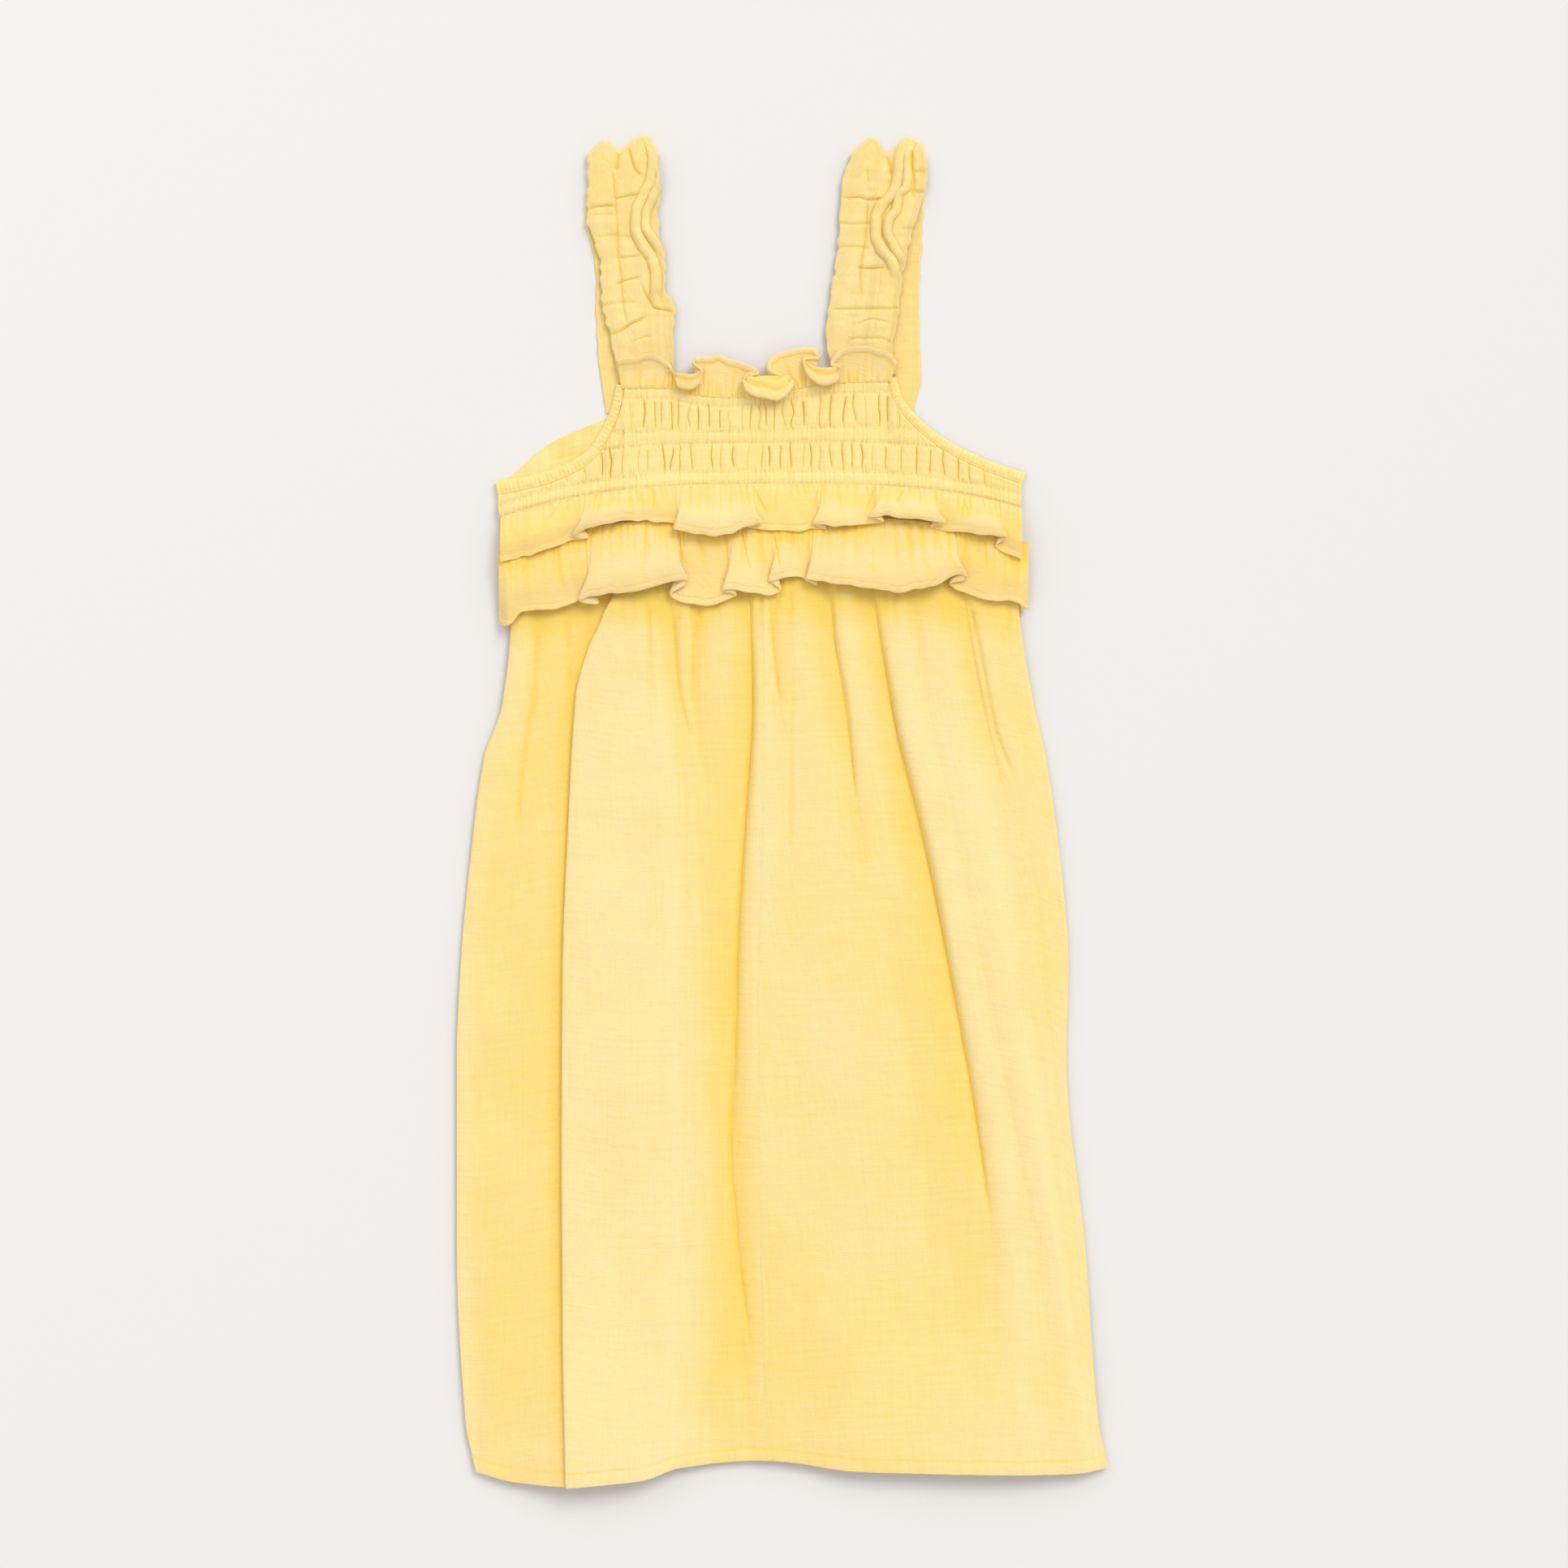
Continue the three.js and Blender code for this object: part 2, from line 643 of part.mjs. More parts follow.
// Straps: a wide band ruched on elastic, up from the front and back down behind it.
// roll is where the band's inner edge, folded over on itself, starts.
const STRAPS = {
  left: {
    front: table("y left roll right", [
      [209, -80, -66, -53],
      [232, -84.8, -68, -53.8],
      [245, -88, -63, -53],
      [257, -89.4, -66, -58],
      [269, -89.8, -65, -57.6],
      [281, -93.6, -73, -60.4],
      [293, -96.6, -74, -61.4],
      [305, -96, -71, -59.8],
      [317, -96, -75, -61.2],
      [326, -95, -76, -62],
    ]),
    back: table("y left right", [
      [195, -87.2, -56],
      [232, -91.6, -57],
      [264, -92, -60],
      [293, -97, -63],
      [326, -95, -62],
    ]),
    top: table("across y", [
      [0, 322],
      [0.22, 328.5],
      [0.45, 323.5],
      [0.66, 329],
      [0.85, 331],
      [1, 322],
    ]),
  },
  right: {
    front: table("y left roll right", [
      [214, 26, 42, 56],
      [228, 21.6, 42, 54],
      [245, 22.6, 44, 57],
      [257, 24.4, 50, 58],
      [269, 26.4, 49, 60],
      [281, 27.6, 46, 63],
      [293, 28, 46, 66.6],
      [305, 29.4, 52, 70],
      [317, 32, 56, 71],
      [326, 35, 54, 70],
    ]),
    back: table("y left right", [
      [195, 34, 64.4],
      [214, 33, 68],
      [245, 32, 66.8],
      [285, 30, 68.6],
      [326, 35, 70],
    ]),
    top: table("across y", [
      [0, 322],
      [0.26, 330],
      [0.48, 322],
      [0.75, 330],
      [0.9, 328],
      [1, 320],
    ]),
  },
};
const STRAP_BACK_REST = 0.6; // middle of the cloth, back run on the table
const STRAP_BASE_REST = 2.6; // front run where it goes in behind the neck frill
const STRAP_FRONT_REST = 3.4;
const STRAP_BEND = (STRAP_FRONT_REST - STRAP_BACK_REST) / 2;
const STRAP_BEND_STEPS = 5;
const PUCKERS = 11; // ruched puckers from base to fold
const PUCKER_HEIGHT = 0.9;
const PUCKER_EDGE = 0.9; // how far a pucker pulls in the strap's sides
const ROLL_HEIGHT = 2.8;
const ROLL_END_Y = 240;
const STRAP_BACK_ROWS = 8;
const STRAP_PLAIN = 15; // the strap lies smooth behind the neck frill

function strap({ front, back, top }) {
  const frontAt = (name, y) => curve(front.y, front[name])(y);
  const backAt = (name, y) => curve(back.y, back[name])(y);
  const topAt = curve(top.across, top.y);
  const across = [
    { share: 0, rolled: 0 },
    { share: 0.22, rolled: 0 },
    { share: 0.45, rolled: 0 },
    { share: 0.6, rolled: 1 },
    { share: 0.8, rolled: 0.8 },
    { share: 1, rolled: 0.3 },
  ];
  const base = front.y[0];
  const rowAt = (place) => across.map(place);
  const frontX = (share, y) => {
    const [left, roll, right] = ["left", "roll", "right"].map((name) => frontAt(name, y));
    return share < 0.5
      ? mix(left, roll - 1, share / 0.45)
      : mix(roll + 1.4, right, (share - 0.6) / 0.4);
  };
  const frontRows = Array.from({ length: 2 * PUCKERS + 1 }, (_, i) => {
    const up = i / (2 * PUCKERS);
    const crest = i % 2;
    return rowAt(({ share, rolled }) => {
      const y = mix(base, topAt(share) - STRAP_BEND, up);
      const settle = smooth((y - base - STRAP_PLAIN) / 10) * smooth((1 - up) * 8);
      const pull = PUCKER_EDGE * (1 - crest) * settle * (1 - 2 * share);
      const roll = ROLL_HEIGHT * rolled * smooth((y - ROLL_END_Y) / 14) * settle;
      const rest = mix(STRAP_BASE_REST, STRAP_FRONT_REST, smooth(up * 10));
      const pucker = PUCKER_HEIGHT * crest * settle;
      return point(frontX(share, y) + pull, y, rest + pucker + roll);
    });
  });
  const bendRows = Array.from({ length: STRAP_BEND_STEPS - 1 }, (_, i) => {
    const a = (Math.PI * (i + 1)) / STRAP_BEND_STEPS;
    return rowAt(({ share }) => {
      const y = topAt(share) - STRAP_BEND;
      const lift = STRAP_BEND * Math.sin(a);
      const drop = STRAP_BEND * (1 - Math.cos(a));
      return point(frontX(share, y), y + lift, STRAP_FRONT_REST - drop);
    });
  });
  const backRows = Array.from({ length: STRAP_BACK_ROWS + 1 }, (_, i) => {
    const down = i / STRAP_BACK_ROWS;
    return rowAt(({ share }) => {
      const y = mix(topAt(share) - STRAP_BEND, BACK_NECK_Y + SEAM_GAP, down);
      const straight = mix(backAt("left", y), backAt("right", y), share);
      return point(mix(frontX(share, y), straight, smooth(down * 4)), y, STRAP_BACK_REST);
    });
  });
  return wall([...frontRows, ...bendRows, ...backRows].reverse());
}

// Neck frill: a strip that stands up from the neckline casing and curls forward
const FRILL_TOP = table("x y", [
  [-77, 220],
  [-65, 223.4],
  [-52, 221.5],
  [-34, 223],
  [-20.6, 219.4],
  [-12, 217],
  [-3, 223],
  [6, 226.6],
  [13.4, 226.4],
  [19, 220],
  [26, 224],
  [38, 231],
  [51, 228.6],
]);
// Each curl: its middle, half its width, how far its cloth hangs down over the front
const FRILL_CURLS = [
  { x: -46, half: 10, hang: 6 },
  { x: -8, half: 13, hang: 11 },
  { x: 18, half: 11, hang: 8 },
];
const FRILL_COLUMNS = 30;
const FRILL_BEND = 1.9;
const FRILL_BEND_STEPS = 4;
const FRILL_REST = 5;
const FRILL_BASE_REST = 3.7;
const FRILL_CURL_TURN = 3;
const FRILL_EDGE_TURN = 0.5; // the plain stretches of the edge roll forward this far
const FRILL_RIPPLE = { pitch: 11, height: 0.5 };
const FRILL_FOOT = 0.5;

function neckFrill() {
  const frillTop = curve(FRILL_TOP.x, FRILL_TOP.y);
  const [left, right] = [FRILL_TOP.x[0], FRILL_TOP.x[FRILL_TOP.x.length - 1]];
  const columns = Array.from({ length: FRILL_COLUMNS + 1 }, (_, i) => {
    const x = mix(left, right, i / FRILL_COLUMNS);
    const curl = FRILL_CURLS.reduce((sum, c) => sum + bump((x - c.x) / c.half) ** 2, 0);
    const hang = FRILL_CURLS.reduce((sum, c) => sum + c.hang * bump((x - c.x) / c.half) ** 2, 0);
    const foot = neckline(x) + FRILL_FOOT;
    const turn = mix(FRILL_EDGE_TURN, FRILL_CURL_TURN, smooth(curl * 1.2));
    const ripple = FRILL_RIPPLE.height * (1 + Math.cos((2 * Math.PI * x) / FRILL_RIPPLE.pitch));
    const top = frillTop(x) - FRILL_BEND;
    const rise = [0, 0.35, 1].map((t) => [
      mix(foot, top, t),
      mix(FRILL_BASE_REST, FRILL_REST, smooth(t * 3)) + ripple * t,
    ]);
    const [, level] = rise[2];
    const bend = Array.from({ length: FRILL_BEND_STEPS }, (_, j) => {
      const a = (turn * (j + 1)) / FRILL_BEND_STEPS;
      return [top + FRILL_BEND * Math.sin(a), level + FRILL_BEND * (1 - Math.cos(a))];
    });
    const [bendY, bendZ] = bend[FRILL_BEND_STEPS - 1];
    const fall = [0.5, 1].map((t) => [
      bendY + Math.cos(turn) * (hang + 0.8) * t,
      bendZ + Math.sin(turn) * (hang + 0.8) * t,
    ]);
    return [...rise, ...bend, ...fall].map(([y, z]) => point(x, y, z));
  });
  const rows = columns[0].map((_, r) => columns.map((column) => column[r]));
  return wall(rows.reverse());
}

// Colours of the gauze: the lit top side, and a warmer tone for what lies beneath
const gauze = new THREE.MeshStandardMaterial({ color: 0xfbe39a, roughness: 0.95 });
const gauzeFrill = new THREE.MeshStandardMaterial({ color: 0xfde5a0, roughness: 0.95 });
const gauzeUnder = new THREE.MeshStandardMaterial({ color: 0xf3d888, roughness: 0.95 });

const overBack = (p) => backUnderside(p.y - dip(p.x)) + LAYER_STEP;
const pieces = {
  skirt_back: [skirtBack(), gauzeUnder],
  skirt_front_left: [skirtFront(leftSection, -SEAM_GAP / 2), gauze],
  skirt_front_right: [skirtFront(rightSection, SEAM_GAP / 2), gauze],
  bodice_back: [bodiceBack(), gauzeUnder],
  bodice_front: [bodiceFront(), gauze],
  armhole_binding_left: [
    binding(ARMHOLE_LEFT, { outward: 1, narrow: 4.4, wide: 7, under: overBack }),
    gauze,
  ],
  armhole_binding_right: [
    binding(ARMHOLE_RIGHT, { outward: 1, narrow: 6, wide: 4.4, under: overBack }),
    gauze,
  ],
  ruffle_upper_front: [ruffleFront(UPPER_RUFFLE), gauzeFrill],
  ruffle_lower_front: [ruffleFront(LOWER_RUFFLE), gauzeFrill],
  ruffle_upper_back: [
    ruffleBack({ left: -137.6, right: 116.4, seam: 159.5, drop: 25, under: () => 0 }),
    gauzeUnder,
  ],
  ruffle_lower_back: [
    ruffleBack({
      left: -138,
      right: 119,
      seam: SKIRT_SEAM_Y,
      drop: 38,
      under: (y) => LAYER_STEP * smooth((y - 127) / 6),
    }),
    gauzeUnder,
  ],
  strap_left: [strap(STRAPS.left), gauzeFrill],
  strap_right: [strap(STRAPS.right), gauzeFrill],
  neck_frill: [neckFrill(), gauzeFrill],
};

const dress = new THREE.Group();
for (const [name, [geometry, material]] of Object.entries(pieces)) {
  const mesh = new THREE.Mesh(geometry, material);
  mesh.name = name;
  dress.add(mesh);
}

export default dress;
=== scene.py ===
import math

import bpy
import numpy as np
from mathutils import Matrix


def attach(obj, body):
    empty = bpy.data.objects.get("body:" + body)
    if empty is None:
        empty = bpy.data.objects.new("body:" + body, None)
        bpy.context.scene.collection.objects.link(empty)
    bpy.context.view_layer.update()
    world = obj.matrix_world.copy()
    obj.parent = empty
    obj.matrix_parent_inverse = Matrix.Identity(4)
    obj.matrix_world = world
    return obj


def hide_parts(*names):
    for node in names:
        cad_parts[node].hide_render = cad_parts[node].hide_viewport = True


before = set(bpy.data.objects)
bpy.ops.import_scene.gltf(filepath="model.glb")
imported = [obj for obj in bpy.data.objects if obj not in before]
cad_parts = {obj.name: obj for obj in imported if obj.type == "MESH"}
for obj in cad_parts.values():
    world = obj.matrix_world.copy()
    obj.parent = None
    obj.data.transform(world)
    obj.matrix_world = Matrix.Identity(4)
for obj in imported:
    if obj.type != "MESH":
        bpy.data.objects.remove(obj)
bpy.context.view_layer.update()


# Camera and light
# The dress was photographed from straight above under a large soft light from its strap
# end, on a white table. Lengths in this script are millimetres until they enter Blender.
MM = 0.001
VIEW_CENTRE = (0.6, 12.2)
VIEW_WIDTH = 772.8
CAMERA_HEIGHT = 1900.0
SENSOR = 36.0

camera = bpy.data.objects.new("camera", bpy.data.cameras.new("camera"))
camera.location = (VIEW_CENTRE[0] * MM, VIEW_CENTRE[1] * MM, CAMERA_HEIGHT * MM)
camera.data.sensor_width = SENSOR
camera.data.lens = SENSOR * CAMERA_HEIGHT / VIEW_WIDTH
bpy.context.collection.objects.link(camera)
bpy.context.scene.camera = camera
bpy.context.scene.view_settings.view_transform = "Standard"


def soft_light(name, kind, toward, power, spread, colour):
    """A lamp far off in the direction toward, shining back at the dress, whose wide spread
    (degrees for a sun, metres for an area) softens the shadows."""
    light = bpy.data.lights.new(name, kind)
    light.energy, light.color = power, colour
    if kind == "SUN":
        light.angle = math.radians(spread)
    else:
        light.size = spread
    lamp = bpy.data.objects.new(name, light)
    lamp.location = toward
    lean = math.atan2(math.hypot(toward[0], toward[1]), toward[2])
    lamp.rotation_euler = (lean, 0, math.atan2(toward[0], -toward[1]))
    bpy.context.collection.objects.link(lamp)


soft_light("key_light", "SUN", (1.0, 1.35, 1.9), 1.35, 28, (1.0, 0.99, 0.975))
soft_light("fill_light", "AREA", (-1.1, 1.4, 2.6), 14, 2.0, (0.97, 0.985, 1.0))

world = bpy.data.worlds.new("studio")
world.use_nodes = True
world.node_tree.nodes["Background"].inputs["Color"].default_value = (1.0, 0.99, 0.978, 1)
world.node_tree.nodes["Background"].inputs["Strength"].default_value = 0.76
bpy.context.scene.world = world


# Table top
# A plain white laminated board, slightly warm, far wider than the picture.
TABLE_SIZE = 6.0
TABLE_COLOUR = (0.752, 0.74, 0.73, 1)

edge = TABLE_SIZE / 2
board = bpy.data.meshes.new("table_top")
board.from_pydata(
    [(-edge, -edge, 0), (edge, -edge, 0), (edge, edge, 0), (-edge, edge, 0)], [], [(0, 1, 2, 3)]
)
table_top = bpy.data.objects.new("table_top", board)
bpy.context.collection.objects.link(table_top)
laminate = bpy.data.materials.new("white_laminate")
laminate.use_nodes = True
laminate_shader = laminate.node_tree.nodes["Principled BSDF"]
laminate_shader.inputs["Base Color"].default_value = TABLE_COLOUR
laminate_shader.inputs["Roughness"].default_value = 0.75
laminate_shader.inputs["Specular IOR Level"].default_value = 0.2
board.materials.append(laminate)


# Double gauze
# Two thin layers of cotton muslin, tacked together, washed soft and crinkled, so that it
# has a fine open weave, streaks of thicker yarn and shallow puckers, and no gloss at all.
CLOTH = 1.2
SEAM_GAP = 0.3
LAYER_STEP = CLOTH + SEAM_GAP
UV_METRES = "cloth"
PAINTED_SHADE_ATTRIBUTE = "painted_shade"
THREADS_PER_METRE = 1700.0
PUCKER_DEPTH = 0.0008


def group_socket(group, name, side, kind, value=None):
    """A named input or output of a node group, with its first value."""
    socket = group.interface.new_socket(name=name, in_out=side, socket_type=kind)
    if value is not None:
        socket.default_value = value


def linked(tree, kind, settings=None, **inputs):
    """A new node with its settings made and its named inputs linked or set."""
    node = tree.nodes.new(kind)
    for key, value in (settings or {}).items():
        setattr(node, key, value)
    for key, value in inputs.items():
        socket = node.inputs[int(key[1:])] if key[0] == "_" and key[1:].isdigit() else node.inputs[key]
        if isinstance(value, bpy.types.NodeSocket):
            tree.links.new(value, socket)
        else:
            socket.default_value = value
    return node


def arithmetic(tree, operation, first, second, **settings):
    """What a math node makes of two numbers or sockets."""
    return linked(tree, "ShaderNodeMath", {"operation": operation, **settings},
                  _0=first, _1=second).outputs[0]


def gauze_weave_group():
    """Height and shade of double gauze: a sine for each thread direction, streaks from
    noise stretched along the cloth, and puckers from noise at a few millimetres."""
    group = bpy.data.node_groups.new("gauze_weave", "ShaderNodeTree")
    group_socket(group, "Cloth", "INPUT", "NodeSocketVector")
    group_socket(group, "Threads per metre", "INPUT", "NodeSocketFloat", THREADS_PER_METRE)
    group_socket(group, "Pucker", "INPUT", "NodeSocketFloat", 1.0)
    group_socket(group, "Height", "OUTPUT", "NodeSocketFloat")
    group_socket(group, "Shade", "OUTPUT", "NodeSocketFloat")
    given = group.nodes.new("NodeGroupInput").outputs
    result = group.nodes.new("NodeGroupOutput").inputs
    apart = linked(group, "ShaderNodeSeparateXYZ", Vector=given["Cloth"]).outputs

    def waves(axis):
        turns = arithmetic(group, "MULTIPLY", apart[axis], given["Threads per metre"])
        angle = arithmetic(group, "MULTIPLY", turns, 2 * math.pi)
        return linked(group, "ShaderNodeMath", {"operation": "SINE"}, _0=angle).outputs[0]

    def noise(across, along, detail):
        stretched = linked(group, "ShaderNodeMapping", Vector=given["Cloth"],
                           Scale=(across, along, 1)).outputs[0]
        return linked(group, "ShaderNodeTexNoise", {"noise_dimensions": "2D"},
                      Vector=stretched, Scale=1.0, Detail=detail).outputs[0]

    def weighted(first, share, second, weight):
        scaled = arithmetic(group, "MULTIPLY", first, share)
        return arithmetic(group, "ADD", scaled, arithmetic(group, "MULTIPLY", second, weight))

    threads = weighted(waves("X"), 0.05, waves("Y"), 0.05)
    streaks = weighted(noise(620, 38, 3), 0.35, noise(38, 560, 3), 0.5)
    puckers = arithmetic(group, "MULTIPLY", noise(300, 240, 2), given["Pucker"])
    height = weighted(weighted(threads, 1.0, streaks, 1.0), 1.0, puckers, 0.6)
    group.links.new(height, result["Height"])
    group.links.new(weighted(streaks, 0.75, noise(22, 16, 3), 0.45), result["Shade"])
    return group


GAUZE_WEAVE = gauze_weave_group()


def gauze(name, colour, depth, relief=0.6, pucker=1.0):
    """A matte cloth that wanders a little in tone. Its colour is painted from colour, as lit, towards
    depth, the colour of painted shade, where its painted shade attribute marks hollows and creases."""
    material = bpy.data.materials.new(name)
    material.use_nodes = True
    tree = material.node_tree
    shader = tree.nodes["Principled BSDF"]
    place = linked(tree, "ShaderNodeUVMap", {"uv_map": UV_METRES})
    weave = linked(tree, "ShaderNodeGroup", {"node_tree": GAUZE_WEAVE}, Cloth=place.outputs[0],
                   Pucker=pucker)
    # Painted shade: the attribute plus a random tone mixes the lit colour towards the shade colour.
    painted_shade = linked(tree, "ShaderNodeAttribute", {"attribute_name": PAINTED_SHADE_ATTRIBUTE}).outputs["Fac"]
    span = {"From Min": 0.35, "From Max": 0.9, "To Min": 0.3, "To Max": -0.26}
    wander = linked(tree, "ShaderNodeMapRange", Value=weave.outputs["Shade"], **span).outputs[0]
    share = arithmetic(tree, "ADD", painted_shade, wander, use_clamp=True)
    tone = linked(tree, "ShaderNodeMix", {"data_type": "RGBA"}, _0=share, _6=(*colour, 1),
                  _7=(*depth, 1)).outputs[2]
    tree.links.new(tone, shader.inputs["Base Color"])
    bump = linked(tree, "ShaderNodeBump", Height=weave.outputs["Height"], Strength=relief,
                  Distance=PUCKER_DEPTH)
    tree.links.new(bump.outputs[0], shader.inputs["Normal"])
    shader.inputs["Roughness"].default_value = 0.92
    shader.inputs["Specular IOR Level"].default_value = 0.15
    shader.inputs["Subsurface Weight"].default_value = 0.4
    shader.inputs["Subsurface Radius"].default_value = (1.0, 0.72, 0.18)
    shader.inputs["Subsurface Scale"].default_value = 0.001
    shader.inputs["Sheen Weight"].default_value = 0.1
    shader.inputs["Sheen Roughness"].default_value = 0.6
    return material


# Lit colour of the skirt gauze, and the deeper yellow painted into its shade.
LIT_YELLOW = (0.912, 0.735, 0.38)
PAINTED_SHADE_YELLOW = (0.90, 0.642, 0.135)
SKIRT_GAUZE = gauze("skirt_gauze", LIT_YELLOW, PAINTED_SHADE_YELLOW)


# Skirt back
# One panel of gauze, gathered into the waist seam, lying on the table under the front
# and over the back ruffles. Only its hem's rim shows from the side.
SKIRT_SEAM_Y = 142.0
HEM_Y = -325.0
SIDE_LEFT, SIDE_RIGHT = -138.0, 116.0
DIP_LEFT, DIP_RIGHT = 16.4, 11.5
BACK_ROWS, BACK_COLUMNS = 120, 50
BACK_INSET = 1.2
SHARP_ANGLE = 60
SKIRT_SIDES = np.array([  # y, left, right
    (142, -133, 113), (98, -134, 117), (59, -138.5, 123.5), (35, -147, 129),
    (-25, -154.5, 137), (-73, -158.5, 140.5), (-121, -160.3, 139.5), (-217, -160.3, 149),
    (-301, -156, 155), (-325, -151, 160.3),
])
HEM_LINE = np.array([  # x, drop below the hem's level
    (-152, 0.5), (-131, 5.6), (-108, 6.8), (-86, 5.2), (-68, 3.5), (-52, -1.5), (-8, -5),
    (37, -0.4), (140, 1), (160, -1.2),
])
BACK_UNDERSIDE = np.array([  # y, height over the table
    (84, 0), (97, 1.5), (127, 1.5), (133, 3), (146, 3), (152, 1.5), (160, 1.5), (167, 0),
])


def mix(a, b, t):
    """The value a share t of the straight way from a to b."""
    return a + (b - a) * t


def smooth(t):
    """A step from 0 to 1 that is level at both ends: 3 t squared less 2 t cubed."""
    t = np.clip(t, 0, 1)
    return t * t * (3 - 2 * t)


def curve(at, value):
    """A cubic through points whose slope is the harmonic mean of its neighbours' slopes,
    and level at peaks, so that it never overshoots; level past both ends."""
    x, y = np.asarray(at, float), np.asarray(value, float)
    if x[0] > x[-1]:
        x, y = x[::-1], y[::-1]
    slope = np.diff(y) / np.diff(x)
    before, after = slope[:-1], slope[1:]
    product = before * after
    total = np.where(product > 0, before + after, 1)
    inner = np.where(product > 0, 2 * product / total, 0)
    tangent = np.concatenate([slope[:1], inner, slope[-1:]])

    def through(where):
        p = np.clip(where, x[0], x[-1])
        i = np.clip(np.searchsorted(x, p) - 1, 0, len(x) - 2)
        step = x[i + 1] - x[i]
        t = (p - x[i]) / step
        swing = t * (1 - t) * ((1 - t) * tangent[i] - t * tangent[i + 1])
        return mix(y[i], y[i + 1], smooth(t)) + step * swing

    return through


def traced(table, column=1):
    """The curve through one column of a table, along its first."""
    return curve(table[:, 0], table[:, column])


skirt_left = traced(SKIRT_SIDES)
skirt_right = traced(SKIRT_SIDES, 2)
hem_drop = traced(HEM_LINE)
back_underside = traced(BACK_UNDERSIDE)


def dip(x):
    """How far a seam has sunk below its level: a cube of the distance to the side."""
    share = np.where(x < 0, x / SIDE_LEFT, x / SIDE_RIGHT)
    return -np.where(x < 0, DIP_LEFT, DIP_RIGHT) * share ** 3


def skirt_y(x, level):
    """A skirt row follows the dipping seam at the top and the wavy hem at the foot."""
    down = (SKIRT_SEAM_Y - level) / (SKIRT_SEAM_Y - HEM_Y)
    return level - SEAM_GAP + dip(x) * (1 - down) ** 3 - hem_drop(x) * down ** 8


def stack(x, y, z):
    """Points from three arrays, each of which may be one row, one column or one number."""
    return np.stack(np.broadcast_arrays(x, y, z), axis=-1).astype(float)


def cloth_distances(points):
    """For each point of a grid, how far it lies along its row and down its column."""
    across = np.linalg.norm(np.diff(points, axis=1), axis=2)
    down = np.linalg.norm(np.diff(points, axis=0), axis=2)
    u = np.concatenate([np.zeros((len(points), 1)), np.cumsum(across, axis=1)], axis=1)
    v = np.concatenate([np.zeros((1, points.shape[1])), np.cumsum(down, axis=0)], axis=0)
    return u - u[:, u.shape[1] // 2][:, None], -v


def shell(name, upper, lower, material, painted_shade=0.0):
    """Closes two equal grids of points, upper and lower face, into one solid piece, whose
    faces point outwards whether its rows run down or up the cloth. Keeps each place's
    painted shade, from 0 to 1, which deepens the cloth's colour."""
    rows, columns = upper.shape[:2]
    places = np.concatenate([upper.reshape(-1, 3), lower.reshape(-1, 3)]) * MM
    index = np.arange(rows * columns).reshape(rows, columns)
    under = index + rows * columns

    def quads(a, b, c, d):
        return np.stack([a, b, c, d], axis=-1).reshape(-1, 4)

    faces = np.concatenate([
        quads(index[:-1, :-1], index[1:, :-1], index[1:, 1:], index[:-1, 1:]),
        quads(under[:-1, :-1], under[:-1, 1:], under[1:, 1:], under[1:, :-1]),
        quads(index[:-1, 0], under[:-1, 0], under[1:, 0], index[1:, 0]),
        quads(index[1:, -1], under[1:, -1], under[:-1, -1], index[:-1, -1]),
        quads(index[0, 1:], under[0, 1:], under[0, :-1], index[0, :-1]),
        quads(index[-1, :-1], under[-1, :-1], under[-1, 1:], index[-1, 1:]),
    ])
    row_step, column_step = upper[1:, :-1] - upper[:-1, :-1], upper[:-1, 1:] - upper[:-1, :-1]
    if (np.cross(row_step, column_step) * (upper - lower)[:-1, :-1]).sum() < 0:
        faces = faces[:, ::-1]
    mesh = bpy.data.meshes.new(name)
    mesh.vertices.add(len(places))
    mesh.vertices.foreach_set("co", places.ravel())
    mesh.loops.add(faces.size)
    mesh.loops.foreach_set("vertex_index", faces.ravel())
    mesh.polygons.add(len(faces))
    mesh.polygons.foreach_set("loop_start", np.arange(0, faces.size, 4))
    mesh.update(calc_edges=True)
    across, down = cloth_distances((upper + lower) / 2)
    flat = np.stack([across.ravel(), down.ravel()], axis=1) * MM
    flat = np.concatenate([flat, flat])
    layer = mesh.uv_layers.new(name=UV_METRES)
    layer.data.foreach_set("uv", flat[faces.ravel()].ravel())
    painted_shades = np.broadcast_to(painted_shade, (rows, columns)).ravel()
    mask = mesh.attributes.new(PAINTED_SHADE_ATTRIBUTE, "FLOAT", "POINT")
    mask.data.foreach_set("value", np.clip(np.concatenate([painted_shades, painted_shades]), 0, 1))
    mesh.shade_smooth()
    mesh.set_sharp_from_angle(angle=math.radians(SHARP_ANGLE))
    mesh.materials.append(material)
    piece = bpy.data.objects.new(name, mesh)
    bpy.context.collection.objects.link(piece)
    return piece


def sew_in(piece, node):
    """Lets a finished piece of cloth stand for its solid: hangs it on the root and hides the solid."""
    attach(piece, "root")
    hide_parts(node)


back_levels = np.linspace(SKIRT_SEAM_Y, HEM_Y, BACK_ROWS)[:, None]
back_share = np.linspace(0, 1, BACK_COLUMNS)[None, :]
back_left, back_right = skirt_left(back_levels), skirt_right(back_levels)
back_x = mix(back_left + BACK_INSET, back_right - BACK_INSET, back_share)
back_down = (SKIRT_SEAM_Y - back_levels) / (SKIRT_SEAM_Y - HEM_Y)
back_y = skirt_y(back_x, back_levels) + 3 * back_down ** 8
back_z = back_underside(back_y - dip(back_x))
lower = stack(back_x, back_y, back_z)
# An even painted shade of 0.4 over the back panel.
skirt_back = shell("skirt_back_panel", lower + (0, 0, CLOTH), lower, SKIRT_GAUZE, 0.4)
sew_in(skirt_back, "skirt_back")


